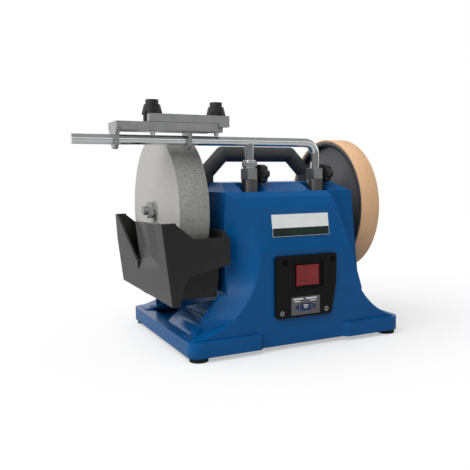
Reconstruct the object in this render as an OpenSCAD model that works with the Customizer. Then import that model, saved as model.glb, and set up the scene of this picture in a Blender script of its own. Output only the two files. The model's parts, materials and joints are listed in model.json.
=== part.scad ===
// Wet grinding sharpener: slow grinding stone in a water trough on the left,
// leather honing wheel on the right, one main shaft through a moulded housing.
// Frame: +X along the main shaft towards the honing wheel, -Y the operator's
// side, +Z up, Z = 0 the surface that the feet stand on.

/* [Base] */
// Width of the base plate
base_w = 320; // [310:1:340]
// Depth of the base plate
base_d = 256; // [250:1:280]
// Height of the base plate's rim
base_h = 19.5; // [17:0.5:24]
// Corner radius of the base plate
base_corner_r = 14; // [8:1:16]
// Wall thickness of the moulded housing
wall = 4; // [3:0.5:5]
// Thickness of the steel bottom cover
cover_t = 1.5; // [1:0.5:2.5]
// Height of each rubber foot
foot_h = 6; // [5:0.5:9]
// Diameter of each rubber foot
foot_d = 24; // [20:1:26]

/* [Tower] */
// Height of the tower's rim above the floor
rim_z = 207; // [203:1:212]
// Distance from the middle of the base to the tower's left wall
tower_left = 100; // [99:0.5:102]
// Distance from the middle of the base to the tower's right wall, at the rim
tower_right = 96; // [94:0.5:97]
// How far the right wall leans out by the time it meets the flare
tower_lean = 15; // [12:0.5:16]
// Depth of the tower's box, front to back
tower_d = 190; // [180:1:200]
// How far the front and rear fairings stand back from the base's edges
fairing_set = 6; // [4:0.5:10]
// Radius of the concave flares at the tower's foot
flare_r = 103; // [98:1:108]
// Height of the raised top plateau
plateau_h = 12; // [9:0.5:15]

/* [Shaft and wheels] */
// Height of the main shaft above the floor
shaft_z = 182; // [180:1:185]
// Diameter of the main shaft
shaft_d = 12; // [11:0.5:14]
// Diameter of the grinding stone
stone_d = 200; // [194:1:204]
// Width of the grinding stone
stone_w = 40; // [36:1:42]
// Gap between the tower's left wall and the stone
stone_gap = 21.6; // [20:0.2:24]
// Diameter of the honing wheel over its leather
hone_d = 200; // [194:1:204]
// Width of the honing wheel
hone_w = 30; // [28:1:34]
// Gap between the tower's right wall and the honing wheel, at the rim
hone_gap = 17; // [16.5:0.5:19]
// Thickness of the leather band
leather_t = 3; // [2:0.5:4]
// Depth of the honing wheel's inner cup
cup_depth = 9; // [8:0.5:14]
// Thickness of the cup's rubber friction ring
ring_t = 3; // [2:0.5:4]

/* [Motor] */
// Outer diameter of the motor
motor_d = 88; // [80:1:90]
// Length of the stator pack
stator_l = 50; // [40:1:54]
// Length of each end bell
bell_l = 27; // [24:1:30]
// Diameter of the drive roller that runs inside the cup
roller_d = 14; // [12:0.5:16]
// Diameter of the motor's shaft
motor_shaft_d = 10; // [8:0.5:11]

/* [Support bar] */
// Diameter of the support bar
bar_d = 12; // [11:0.5:13]
// Height of the support bar's axis
bar_z = 272.5; // [268:0.5:280]
// Distance from the middle of the base to the bar's free end
bar_reach = 284; // [276:1:300]
// Distance of the bar in front of the main shaft
bar_front = 80; // [76:0.5:82]
// Inside bend radius at the bar's right end
bar_bend_r = 10; // [8:1:14]
// Position of the left leg
leg_left_x = -56; // [-58:0.5:-54]
// Position of the right leg
leg_right_x = 45.6; // [44:0.2:48]
// Outer diameter of the guide sleeves
sleeve_d = 22; // [20:0.5:23]
// How far the sleeves stand above the rim
sleeve_h = 16; // [12:0.5:18]
// Height of the clamp collars
collar_h = 14.5; // [13:0.5:16]
// Width of the clamp collars
collar_w = 21.5; // [20:0.5:24]
// Diameter of the lock knobs
lock_knob_d = 26; // [22:1:27]
// Outer diameter of the height nut
height_nut_d = 19.5; // [18:0.5:22]
// Height of the height nut
height_nut_h = 11; // [9:0.5:13]

/* [Tool jig] */
// Left end of the jig's lower bar
jig_x = -231; // [-236:1:-226]
// Length of the jig's lower bar
jig_l = 137; // [132:1:142]
// Depth of the jig's bars, front to back
jig_w = 40; // [36:1:42]
// Thickness of each of the jig's two bars
jig_t = 10; // [8:0.5:11]
// Length of the jig's upper clamp bar
clamp_l = 104; // [98:1:106]
// Diameter of the jig knobs
jig_knob_d = 25; // [22:1:28]

/* [Handle] */
// Diameter of the carrying handle's tube
handle_d = 22; // [18:1:24]
// Height of the handle's upper bar
handle_z = 259; // [252:1:262]
// Half the length of the handle's straight top
handle_half = 55; // [52:1:58]
// Half the distance between the handle's feet
handle_foot = 81; // [78:1:82]

/* [Water trough] */
// Wall thickness of the trough
trough_wall = 3; // [2:0.5:3.5]
// Gap between the stone and the trough's outer wall, at the rim
trough_gap = 28.4; // [26:0.2:32]
// Gap between the stone's lowest point and the trough's floor
trough_floor_gap = 12; // [11:0.5:14]
// Clearance between the stone and the trough's front and rear walls
trough_end_gap = 15; // [13:0.5:16]
// Width of each guide rail's neck
rail_neck = 12; // [10:1:16]

/* [Switch and plates] */
// Thickness of the switch plate
switch_plate_t = 4.5; // [4:0.5:5]
// Width of the switch rocker
rocker_w = 35; // [32:0.5:38]
// Height of the switch rocker
rocker_h = 28; // [24:0.5:30]
// Width of the name plate
name_w = 86; // [70:1:90]
// Height of the name plate's upper field
name_h = 18; // [14:0.5:20]
// Height of the dark strip below it
strip_h = 11; // [8:0.5:12]
// Bore of the cable gland
gland_bore_d = 8; // [6:0.5:9]

/* [Clearances] */
// Radial clearance of shafts and rods in their bores
run = 0.05; // [0.03:0.01:0.08]
// Free gap between pieces that move past each other
gap = 0.3; // [0.2:0.05:0.4]

/* [Hidden] */
$fn = 96;
eps = 0.01;

// Levels and planes
base_top = foot_h + base_h;
cover_z = foot_h;
cover_top = cover_z + cover_t;
left_wall = -tower_left;
fairing_y = base_d / 2 - fairing_set;
tower_y = tower_d / 2;
bar_y = -bar_front;
mid_x = (base_w / 2 - bar_reach) / 2;   // middle of the whole part, along X
deck_t = 3.5;                           // top of the base plate
foot_x = base_w / 2 - foot_d / 2 - 3;
foot_y = base_d / 2 - foot_d / 2 - 2;
cover_post_x = 62;
cover_post_y = fairing_y - wall - 7;
pad_left = -66;                         // where the front corner pads end
pad_right = 72;
pad_slope = 7;
tray_h = 9;
plateau_slope = 35;                     // depth of the plateau's front and rear slopes
flare_z = base_top + flare_r - 0.5;
waist_left = -62;                       // narrowest place of the fairings
waist_right = 96;
slant = 1.2;                            // sideways run of the fairing's left wall
shoulder_r = 60;

// Shaft and what turns on it
stone_r = stone_d / 2;
hone_r = hone_d / 2;
stone_x1 = left_wall - stone_gap;
stone_x0 = stone_x1 - stone_w;
washer_t = 3.5;
washer_r = 13;
flange_t = 4;
flange_r = 22;
nut_t = 8;
nut_d = 22;
shaft_x0 = stone_x0 - washer_t - nut_t - 5;
bush_r = 11;
bush_l = 20;
bush_flange = 3;
hone_x0 = tower_right + hone_gap;
hone_x1 = hone_x0 + hone_w;
web_t = 6;
web_x0 = hone_x0 + cup_depth;
hub_r = 17;
hub_x0 = hone_x0 + 4;
rim_t = 4;
ring_r = hone_r - leather_t - rim_t - ring_t;
ring_x0 = hone_x0 + 1;
hone_nut_x = hone_x1 - 4;
shaft_x1 = hone_nut_x + washer_t + nut_t + 3;
spacer_r = 9;

// Motor, with its roller against the inside of the friction ring
roller_r = roller_d / 2;
motor_z = shaft_z - ring_r + roller_r + 0.2;
motor_x = -4;
motor_r = motor_d / 2;
stator_x0 = motor_x - stator_l / 2;
stator_x1 = motor_x + stator_l / 2;
bell_x0 = stator_x0 - bell_l;
bell_x1 = stator_x1 + bell_l;
bell_wall = 7;
bell_t = 4;
bearing_r = 11;
bearing_w = 7;
rotor_r = 24;
tie_r = motor_r - bell_wall / 2;
bracket_t = 3;
bracket_w = 60;
bracket_bolt_y = 20;
bracket_foot_x = 30;
bracket_foot_y = 24;
capacitor_x = -76;
capacitor_y = 62;
capacitor_r = 16;
capacitor_h = 58;
fan_r = 34;
fan_w = 9;
fan_x0 = bell_x0 - bracket_t - 5 - fan_w;
roller_x0 = ring_x0 + 0.5;
roller_x1 = web_x0 - 1;
motor_shaft_r = motor_shaft_d / 2;

// Support bar, sleeves and collars
bar_r = bar_d / 2;
leg_z0 = 158;
sleeve_z0 = 150;
sleeve_z1 = rim_z + sleeve_h;
collar_z1 = sleeve_z1 + collar_h;
sleeve_r = sleeve_d / 2;
bore_r = bar_r + run;
lock_z = sleeve_z1 + collar_h / 2;
lock_screw_r = 3;
lock_screw_grip = 8;                    // how far the screw is moulded into its knob
lock_knob_t = 14;
lock_knob_x = collar_w / 2 + 3;         // from the leg's axis to the knob
lock_turn = 25;                         // lock screws point to the right and a little back

// Tool jig
jig_z0 = bar_z + bar_r + 4.5;
jig_z1 = jig_z0 + jig_t;
clamp_z1 = jig_z1 + jig_t;
jig_x1 = jig_x + jig_l;
jig_y0 = bar_y - jig_w / 2;
clamp_x0 = jig_x1 + 1 - clamp_l;
stud_r = 3;
stud_left_x = clamp_x0 + 10;
stud_right_x = jig_x1 - 9;
lug_t = 5;
lug_mid_x = -145;
neck_r = 11;                            // left knob's neck, in the open end of the clamp bar
lip_l = 15;                             // lip under the clamp bar's right end
lip_h = 4;
lug_r = 11.5;
knob_base_h = 12;
knob_cap_h = 6;
knob_cap_r = 8;

// Switch module behind the plate: half its width, rim and depth
module_x = 16.5;
module_rim = 3.5;
module_depth = 26;

// Open tray in the base
tray_rim = 20;
tray_y0 = 3;
tray_y1 = 100;

// Carrying handle
handle_r = handle_d / 2;
handle_foot_t = 5;
handle_screw_y = 17;
handle_knee_drop = 27;                  // knees below the grip's middle line
handle_knee_z = handle_z - handle_knee_drop;
handle_mid_x = -5;
handle_feet_x = [handle_mid_x - handle_foot, handle_mid_x + handle_foot];

// Water trough and its guide rails
trough_x0 = stone_x0 - trough_gap;
trough_x1 = left_wall - 6;
trough_y = stone_r + trough_end_gap;
trough_top = rim_z - 36;
floor_z = shaft_z - stone_r - trough_floor_gap;
trough_lean = 12;
trough_slope = trough_lean / (trough_top - floor_z);
sump_y = 90;
notch_y = 18;
notch_z = 112;
rim_fall = 4;                           // fall of the left rim, over its front part
rim_fall_y = 100;
panel_depth = 5;
ramp_run = 52;                          // panel's ramp back out, along Y
shelf_z = 101;                          // lowest point of the panel's sloping foot
shelf_rise = 0.32;
shelf_skew = 0.056;
dip = 4;                                // fall of the floor to its middle
apron_z = 152;
rail_y = 60;
rail_z0 = 104;
rail_z1 = 152;
rail_head = 20;

// Switch, plates and cable gland on the fairings
switch_x = 6;
switch_z = 97;
plate_y = -fairing_y;
plate_top = 124;
plate_bottom = 42;
plate_left = -42.5;
plate_right_top = 51;
plate_right_bottom = 43.5;
plate_r = 5;
pivot_y = plate_y + 3;                  // upright pin that the rocker turns on
pin_r = 1;
rocker_gap = 1.5;
screw_spots = [[-29, 115.5], [44, 115.5], [-33, 49], [35, 49]];
lean_z = 132;                           // above this the fairing leans back
lean_top_z = 186;
lean_run = 8;
lean_angle = atan(lean_run / (lean_top_z - lean_z));
name_z = 160;                           // joint between the plate and the strip
plate_t = 1;
gland_x = 40;
gland_z = 50;
vent_x = 40;                            // half the vent's width
vent_z = 75;
vent_h = 40;
vent_slats = 5;
vent_pitch = (vent_h - 4) / vent_slats;
label_x = -20;
label_z = 45;
label_w = 44;
label_h = 24;

// ---------- Helpers ----------

// Everything is placed with the middle of the whole part at X = 0
module placed() {
    translate([-mid_x, 0, 0]) children();
}

// Box between two corners
module block(low, high) {
    translate(low) cube(high - low);
}

// Rods along each axis
module x_rod(r, x0, x1, y, z) {
    translate([x0, y, z]) rotate([0, 90, 0]) cylinder(r = r, h = x1 - x0);
}

module y_rod(r, y0, y1, x, z) {
    translate([x, y1, z]) rotate([90, 0, 0]) cylinder(r = r, h = y1 - y0);
}

module z_rod(r, z0, z1, x, y) {
    translate([x, y, z0]) cylinder(r = r, h = z1 - z0);
}

// Tube along X on the main shaft's axis
module shaft_ring(r_out, r_in, x0, x1) {
    difference() {
        x_rod(r_out, x0, x1, 0, shaft_z);
        x_rod(r_in, x0 - 1, x1 + 1, 0, shaft_z);
    }
}

// Tube along X on the motor's axis
module motor_ring(r_out, r_in, x0, x1) {
    difference() {
        x_rod(r_out, x0, x1, 0, motor_z);
        x_rod(r_in, x0 - 1, x1 + 1, 0, motor_z);
    }
}

// Outline drawn in X and Z, extruded from y0 to y1
module y_prism(y0, y1) {
    translate([0, y1, 0]) rotate([90, 0, 0]) linear_extrude(y1 - y0) children();
}

// Outline drawn in Y and Z, extruded from x0 to x1
module x_prism(x0, x1) {
    translate([x0, 0, 0]) rotate([90, 0, 90]) linear_extrude(x1 - x0) children();
}

// Hexagonal rod along X with a bore
module hex_nut_x(d, x0, x1, bore) {
    difference() {
        translate([x0, 0, shaft_z]) rotate([0, 90, 0]) cylinder(d = d, h = x1 - x0, $fn = 6);
        x_rod(bore, x0 - 1, x1 + 1, 0, shaft_z);
    }
}

// Flat rectangle with round corners, built from squares and circles
module round_rect(w, d, r) {
    square([w - 2 * r, d], center = true);
    square([w, d - 2 * r], center = true);
    for (sx = [-1, 1], sy = [-1, 1])
        translate([sx * (w / 2 - r), sy * (d / 2 - r)]) circle(r);
}

// Scalloped outline of a star knob
module star_outline(d, lobes) {
    difference() {
        circle(d = d);
        for (i = [0 : lobes - 1])
            rotate(i * 360 / lobes) translate([d * 0.56, 0]) circle(d = d * 0.26);
    }
}

// ---------- Housing ----------

// Base outline, set back between the corner pads at the front and rear
module base_outline() {
    difference() {
        round_rect(base_w, base_d, base_corner_r);
        for (side = [-1, 1])
            polygon([
                [pad_left, side * (base_d / 2 + 1)],
                [pad_left + pad_slope, side * fairing_y],
                [pad_right - pad_slope, side * fairing_y],
                [pad_right, side * (base_d / 2 + 1)]
            ]);
    }
}

// Tower seen from the front: upright left wall, leaning right wall
module tower_outline(inset) {
    low = base_top - 5;
    polygon([
        [left_wall + inset, low],
        [left_wall + inset, rim_z - inset],
        [tower_right - inset, rim_z - inset],
        [tower_right + tower_lean - inset, flare_z - flare_r / 1.6],
        [tower_right + tower_lean - inset, low]
    ]);
}

// Concave foot at the tower's right side
module right_flare_outline() {
    foot = tower_right + tower_lean;
    difference() {
        translate([foot - 1, base_top - 5]) square([base_w / 2 - 5 - foot, 45]);
        translate([foot + flare_r - 20, flare_z - 8]) circle(flare_r);
    }
}

// Fairing seen from the front: waisted, with a concave flare on each side
module fairing_outline() {
    low = foot_h + 2;
    knee_z = base_top + 47;
    difference() {
        polygon([
            [4 - base_w / 2, low], [4 - base_w / 2, flare_z], [waist_left, flare_z],
            [waist_left - 3, flare_z + 36], [waist_left - 14, rim_z],
            [waist_right - 43, rim_z], [waist_right, knee_z], [waist_right, low]
        ]);
        translate([waist_left - flare_r, flare_z]) circle(flare_r);
    }
    difference() {
        translate([waist_right - 6, low]) square([base_w / 2 - 6 - waist_right + 6, knee_z + 3 - low]);
        translate([waist_right + flare_r - 17, flare_z - 3.5]) circle(flare_r);
    }
}

// Fairing seen from the side: upright, then leaning back to a rounded top
module fairing_profile() {
    top_y = fairing_y - lean_run;
    polygon([[0, foot_h + 2], [fairing_y, foot_h + 2], [fairing_y, lean_z], [top_y, lean_top_z],
             [top_y - 6, rim_z - 7], [top_y - 15, rim_z], [0, rim_z]]);
}

// Left side wall that runs back at a slant to the tower's edge
module fairing_slant() {
    multmatrix([[1, -slant, 0, -slant * fairing_y], [0, 1, 0, 0], [0, 0, 1, 0], [0, 0, 0, 1]])
        y_prism(-fairing_y, -tower_y + 1)
            intersection() {
                fairing_outline();
                translate([left_wall, foot_h]) square([-left_wall, rim_z]);
            }
}

// One fairing; the rear one is its mirror image
module fairing() {
    intersection() {
        union() {
            y_prism(-fairing_y, -tower_y + 12) fairing_outline();
            fairing_slant();
        }
        x_prism(-base_w / 2, base_w / 2) mirror([1, 0]) fairing_profile();
        union() {
            block([left_wall, -fairing_y, 0], [base_w / 2, -tower_y + 12, rim_z]);
            block([-base_w / 2, -fairing_y, 0], [left_wall + 1, -tower_y + 12, flare_z - flare_r / 2]);
        }
    }
}

// Raised plateau with a sloping edge all round
module plateau() {
    rise = rim_z + plateau_h;
    intersection() {
        y_prism(-tower_y, tower_y)
            polygon([[left_wall + 2, rim_z - eps], [left_wall + 12, rise],
                     [tower_right - 12, rise], [tower_right - 2, rim_z - eps]]);
        x_prism(left_wall, tower_right)
            polygon([[2 - tower_y, rim_z - eps], [plateau_slope - tower_y, rise],
                     [tower_y - plateau_slope, rise], [tower_y - 2, rim_z - eps]]);
    }
}

// Rounded shoulder and bright ledge beside the tower's left foot
module left_shoulder() {
    axis_z = base_top + 20 - shoulder_r;
    intersection() {
        union() {
            y_rod(shoulder_r, -tower_y, 3, left_wall, axis_z);
            // Falls away at the front, into the skirt
            translate([left_wall, -tower_y, axis_z]) rotate([110, 0, 0]) cylinder(r = shoulder_r, h = 60);
        }
        block([-base_w / 2 + 3, -fairing_y, foot_h + 2], [left_wall + 1, 3, base_top + 30]);
    }
    hull() {
        block([left_wall - 1, -tower_y, base_top + 10], [left_wall + 1, -tower_y + 1, base_top + 46]);
        block([left_wall - 14, -tower_y, base_top + 8], [left_wall, -tower_y + 1, base_top + 28]);
        block([left_wall - 18, 0, base_top + 8], [left_wall + 1, 3, base_top + 18]);
    }
}

// Hollow inside of the housing, open at the bottom
module housing_cavity() {
    inner_y = tower_y - wall;
    difference() {
        translate([0, 0, foot_h - 1]) linear_extrude(base_h - deck_t + 1)
            round_rect(base_w - 2 * wall, 2 * (fairing_y - wall), base_corner_r - wall);
        block([-base_w / 2 + 17, -1, 0], [left_wall + wall, 104, base_top]);
        for (sx = [-1, 1], sy = [-1, 1]) {
            z_rod(8, cover_top, base_top, sx * foot_x, sy * foot_y);
            z_rod(6, cover_top, base_top, sx * cover_post_x, sy * cover_post_y);
        }
    }
    y_prism(-inner_y, inner_y) tower_outline(wall);
    block([left_wall + wall, -inner_y, foot_h - 1], [tower_right + tower_lean - wall, inner_y, base_top]);
    block([-50, -fairing_y + wall, base_top - 5], [56, fairing_y - wall, lean_z + 10]);
}

module housing() color("royalblue") placed() {
    difference() {
        union() {
            difference() {
                union() {
                    translate([0, 0, foot_h]) linear_extrude(base_h) base_outline();
                    y_prism(-tower_y, tower_y) {
                        tower_outline(0);
                        right_flare_outline();
                    }
                    fairing();
                    mirror([0, 1, 0]) fairing();
                    plateau();
                    left_shoulder();
                }
                housing_cavity();
            }
            // Bosses for the sleeves and the shaft's bushes
            for (x = [leg_left_x, leg_right_x])
                z_rod(sleeve_r + 5, sleeve_z0, rim_z - 1, x, bar_y);
            x_rod(bush_r + 5, left_wall + 1, left_wall + bush_l, 0, shaft_z);
            x_rod(bush_r + 5, tower_right - bush_l, tower_right + 1, 0, shaft_z);
        }
        // Level seats in the plateau around the sleeves
        for (x = [leg_left_x, leg_right_x])
            block([x - 15, -tower_y - 1, rim_z], [x + 15, bar_y + 18, rim_z + plateau_h + 1]);
        for (x = [leg_left_x, leg_right_x])
            z_rod(sleeve_r, sleeve_z0 - 1, rim_z + plateau_h + 1, x, bar_y);
        x_rod(bush_r, left_wall - 1, left_wall + bush_l + 1, 0, shaft_z);
        x_rod(bush_r, tower_right - bush_l - 1, tower_right + 20, 0, shaft_z);
        x_rod(bush_r + 5, tower_right, tower_right + 20, 0, shaft_z);
        // Way out for the drive roller's shaft
        x_rod(roller_r + 3, tower_right - wall, tower_right + 20, 0, motor_z);
        // Open tray in the base, under the trough
        block([-base_w / 2 + tray_rim, tray_y0, base_top - tray_h], [left_wall - 1, tray_y1, base_top + 1]);
        // Handle screws, switch, cable gland, vent and bottom screws
        for (x = handle_feet_x) {
            for (y = [-1, 1])
                z_rod(2.5, rim_z - 9, rim_z + 1, x, y * handle_screw_y);
            block([x - 14, -25, rim_z], [x + 14, 25, rim_z + plateau_h + 1]);
        }
        block([switch_x - rocker_w / 2 - 2, -fairing_y - 1, switch_z - rocker_h / 2 - 4],
              [switch_x + rocker_w / 2 + 2, -fairing_y + wall + 1, switch_z + rocker_h / 2 + 4]);
        for (p = screw_spots)
            y_rod(1.8, -fairing_y - 1, -fairing_y + 3.5, p[0], p[1]);
        y_rod(8, fairing_y - wall - 1, fairing_y + 1, gland_x, gland_z);
        block([-vent_x, fairing_y - wall - 1, vent_z], [vent_x, fairing_y + 1, vent_z + vent_h]);
        for (sx = [-1, 1], sy = [-1, 1]) {
            z_rod(2, foot_h - 1, foot_h + 13, sx * foot_x, sy * foot_y);
            z_rod(2, foot_h - 1, foot_h + 13, sx * cover_post_x, sy * cover_post_y);
        }
    }
}

module bottom_cover() color("silver") placed() {
    difference() {
        translate([0, 0, cover_z]) linear_extrude(cover_t)
            round_rect(base_w - 2 * wall - 1, 2 * (fairing_y - wall) - 1, base_corner_r - wall - 0.5);
        // Left open under the tray
        block([-base_w / 2 + 16.5, -1.5, 0], [left_wall + wall + 0.5, 104.5, base_top]);
        for (sx = [-1, 1], sy = [-1, 1]) {
            z_rod(2.1, 0, base_top, sx * foot_x, sy * foot_y);
            z_rod(2.1, 0, base_top, sx * cover_post_x, sy * cover_post_y);
            z_rod(2.6, 0, base_top, motor_x + sx * bracket_foot_x, sy * bracket_foot_y);
        }
    }
}

// Pan-head screw pointing up, its head just below z
module screw_up(x, y, z, r, length) {
    z_rod(r, z - eps, z + length, x, y);
    z_rod(2 * r, z - 1.2 * r, z, x, y);
}

module cover_screws() color("dimgray") placed()
    for (sx = [-1, 1], sy = [-1, 1])
        screw_up(sx * cover_post_x, sy * cover_post_y, cover_z, 2, 12);

module rubber_feet() color("black") placed()
    for (sx = [-1, 1], sy = [-1, 1])
        difference() {
            z_rod(foot_d / 2, 0, foot_h, sx * foot_x, sy * foot_y);
            z_rod(2.1, -1, foot_h + 1, sx * foot_x, sy * foot_y);
            z_rod(5, -1, foot_h - 2, sx * foot_x, sy * foot_y);
        }

module foot_screws() color("dimgray") placed()
    for (sx = [-1, 1], sy = [-1, 1])
        screw_up(sx * foot_x, sy * foot_y, foot_h - 2, 2, 14);

// ---------- Carrying handle ----------

// Straight piece of the handle between two points in X and Z
module handle_run(a, b) {
    d = b - a;
    translate([a[0], 0, a[1]]) rotate([0, atan2(d[0], d[1]), 0]) cylinder(r = handle_r, h = norm(d));
}

module handle() color("#1c1c1e") placed() {
    path = [
        [handle_feet_x[0], rim_z + handle_foot_t], [handle_feet_x[0], handle_knee_z],
        [handle_mid_x - handle_half, handle_z], [handle_mid_x + handle_half, handle_z],
        [handle_feet_x[1], handle_knee_z], [handle_feet_x[1], rim_z + handle_foot_t]
    ];
    for (i = [0 : 4])
        handle_run(path[i], path[i + 1]);
    for (i = [1 : 4])
        translate([path[i][0], 0, path[i][1]]) sphere(handle_r + 0.08);
}

module handle_feet() color("#3a2c28") placed()
    for (x = handle_feet_x)
        difference() {
            block([x - 13, -24, rim_z], [x + 13, 24, rim_z + handle_foot_t]);
            for (y = [-1, 1])
                z_rod(2.6, rim_z - 1, rim_z + handle_foot_t + 1, x, y * handle_screw_y);
        }

module handle_screws() color("dimgray") placed()
    for (x = handle_feet_x, y = [-1, 1]) {
        z_rod(2.5, rim_z - 8, rim_z + handle_foot_t + eps, x, y * handle_screw_y);
        z_rod(4.5, rim_z + handle_foot_t, rim_z + handle_foot_t + 3, x, y * handle_screw_y);
    }

// ---------- Support bar ----------

module guide_sleeve(x) color("dimgray") placed()
    difference() {
        z_rod(sleeve_r, sleeve_z0, sleeve_z1, x, bar_y);
        z_rod(bore_r, sleeve_z0 - 1, sleeve_z1 + 1, x, bar_y);
    }

module guide_sleeve_left() guide_sleeve(leg_left_x);
module guide_sleeve_right() guide_sleeve(leg_right_x);

// Drawn upright, then laid along the axis of a leg's lock screw
module along_lock(x) {
    translate([x, bar_y, lock_z]) rotate([0, 90, lock_turn]) children();
}

// Six-sided collar with a bore for the leg and a cross hole for the lock screw
module clamp_collar(x) color("silver") placed()
    difference() {
        translate([x, bar_y, sleeve_z1]) rotate(lock_turn - 30)
            cylinder(d = collar_w / cos(30), h = collar_h, $fn = 6);
        z_rod(bore_r, sleeve_z1 - 1, collar_z1 + 1, x, bar_y);
        along_lock(x) cylinder(r = lock_screw_r + run, h = collar_w);
    }

module clamp_collar_left() clamp_collar(leg_left_x);
module clamp_collar_right() clamp_collar(leg_right_x);

module lock_screw(x) color("silver") placed()
    along_lock(x) translate([0, 0, bore_r + gap])
        cylinder(r = lock_screw_r, h = lock_knob_x + lock_screw_grip - bore_r - gap);

module lock_screw_left() lock_screw(leg_left_x);
module lock_screw_right() lock_screw(leg_right_x);

// Star knob moulded round the end of its lock screw
module lock_knob(x) color("#222224") placed()
    along_lock(x) difference() {
        union() {
            translate([0, 0, lock_knob_x]) linear_extrude(lock_knob_t) star_outline(lock_knob_d, 6);
            translate([0, 0, collar_w / 2 + gap]) cylinder(r = 6, h = 4);
        }
        cylinder(r = lock_screw_r, h = lock_knob_x + lock_screw_grip);
    }

module lock_knob_left() lock_knob(leg_left_x);
module lock_knob_right() lock_knob(leg_right_x);

// Long bar, its bend at the right and the right leg
module support_bar() color("lightgray") placed() {
    bend_r = bar_bend_r + bar_r;
    x_rod(bar_r, -bar_reach, leg_right_x - bend_r, bar_y, bar_z);
    translate([leg_right_x - bend_r, bar_y, bar_z - bend_r]) rotate([90, 0, 0])
        rotate_extrude(angle = 90) translate([bend_r, 0]) circle(bar_r);
    z_rod(bar_r, leg_z0, bar_z - bend_r, leg_right_x, bar_y);
}

// Threaded left leg, saddled to the underside of the bar
module support_leg() color("lightgray") placed()
    difference() {
        z_rod(bar_r, leg_z0, bar_z - bar_r / 2, leg_left_x, bar_y);
        x_rod(bar_r, leg_left_x - 20, leg_left_x + 20, bar_y, bar_z);
    }

module height_nut() color("silver") placed() {
    z0 = collar_z1 + 0.05;
    difference() {
        union() {
            z_rod(height_nut_d / 2, z0 + 2, z0 + height_nut_h - 2, leg_left_x, bar_y);
            z_rod(height_nut_d / 2 - 1, z0, z0 + height_nut_h, leg_left_x, bar_y);
        }
        z_rod(bore_r, z0 - 1, z0 + height_nut_h + 1, leg_left_x, bar_y);
    }
}

// ---------- Tool jig on the bar ----------

// Hanging lug with an eye for the bar
module jig_lug(x) {
    x_prism(x, x + lug_t) {
        translate([bar_y, bar_z]) circle(lug_r);
        translate([bar_y - lug_r, bar_z]) square([2 * lug_r, jig_z0 + 1 - bar_z]);
    }
}

module jig_base() color("silver") placed()
    difference() {
        union() {
            block([jig_x, jig_y0, jig_z0], [jig_x1 - 15, jig_y0 + jig_w, jig_z1]);
            block([jig_x1 - 16, jig_y0 + 10, jig_z0], [stud_right_x + 5, jig_y0 + 30, jig_z1]);
            // End plate that tapers down to the left lug
            x_prism(jig_x - lug_t, jig_x + eps)
                polygon([[jig_y0, jig_z1], [jig_y0, jig_z0 + 3], [bar_y - lug_r, jig_z0 - 6],
                         [bar_y + lug_r, jig_z0 - 6], [jig_y0 + jig_w, jig_z0 + 3],
                         [jig_y0 + jig_w, jig_z1]]);
            jig_lug(jig_x - lug_t);
            jig_lug(lug_mid_x);
        }
        x_rod(bore_r, jig_x - lug_t - 1, lug_mid_x + lug_t + 1, bar_y, bar_z);
        for (x = [stud_left_x, stud_right_x])
            z_rod(stud_r, jig_z0 - 1, jig_z1 + 1, x, bar_y);
    }

module jig_studs() color("silver") placed()
    for (x = [stud_left_x, stud_right_x])
        z_rod(stud_r, jig_z0 - 4, clamp_z1 + 9, x, bar_y);

module jig_clamp_bar() color("silver") placed()
    difference() {
        union() {
            block([clamp_x0, jig_y0, jig_z1 + 0.05], [clamp_x0 + clamp_l, jig_y0 + jig_w, clamp_z1]);
            // Lip at the right, in front of the lower bar's tongue
            block([clamp_x0 + clamp_l - lip_l, jig_y0, jig_z1 - lip_h],
                  [clamp_x0 + clamp_l, jig_y0 + 9, jig_z1 + 1]);
        }
        z_rod(stud_r + gap, jig_z1 - 1, clamp_z1 + 1, stud_right_x, bar_y);
        // Open end round the left knob's neck
        z_rod(neck_r + gap, jig_z1 - 1, clamp_z1 + 1, stud_left_x, bar_y);
        block([clamp_x0 - 1, bar_y - neck_r - gap, jig_z1 - 1],
              [stud_left_x, jig_y0 + jig_w + 1, clamp_z1 + 1]);
    }

module jig_knob(x) color("#222224") placed()
    difference() {
        union() {
            translate([x, bar_y, clamp_z1 + 0.05]) intersection() {
                linear_extrude(knob_base_h) star_outline(jig_knob_d, 8);
                cylinder(d1 = jig_knob_d + 0.4, d2 = jig_knob_d * 0.8, h = knob_base_h);
            }
            z_rod(knob_cap_r, clamp_z1 + knob_base_h, clamp_z1 + knob_base_h + knob_cap_h, x, bar_y);
            if (x == stud_left_x)
                z_rod(neck_r, jig_z1 + 0.5, clamp_z1 + 1, x, bar_y);
        }
        z_rod(stud_r + run, jig_z1 - 1, clamp_z1 + 10, x, bar_y);
    }

module jig_knob_left() jig_knob(stud_left_x);
module jig_knob_right() jig_knob(stud_right_x);

// ---------- Main shaft and wheels ----------

module main_shaft() color("silver") placed()
    x_rod(shaft_d / 2, shaft_x0, shaft_x1, 0, shaft_z);

module grinding_stone() color("#c4c3bf") placed()
    shaft_ring(stone_r, shaft_d / 2, stone_x0, stone_x1);

module stone_flange() color("silver") placed()
    shaft_ring(flange_r, shaft_d / 2, stone_x1, stone_x1 + flange_t);

module stone_washer() color("silver") placed()
    shaft_ring(washer_r, shaft_d / 2, stone_x0 - washer_t, stone_x0);

module stone_nut() color("silver") placed()
    hex_nut_x(nut_d, stone_x0 - washer_t - nut_t, stone_x0 - washer_t, shaft_d / 2);

// Distance sleeves between the bushes and the wheels
module shaft_spacers() color("silver") placed() {
    shaft_ring(spacer_r, shaft_d / 2, stone_x1 + flange_t, left_wall - bush_flange - 0.1);
    shaft_ring(spacer_r, shaft_d / 2, tower_right + bush_flange + 0.1, hub_x0);
}

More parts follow.
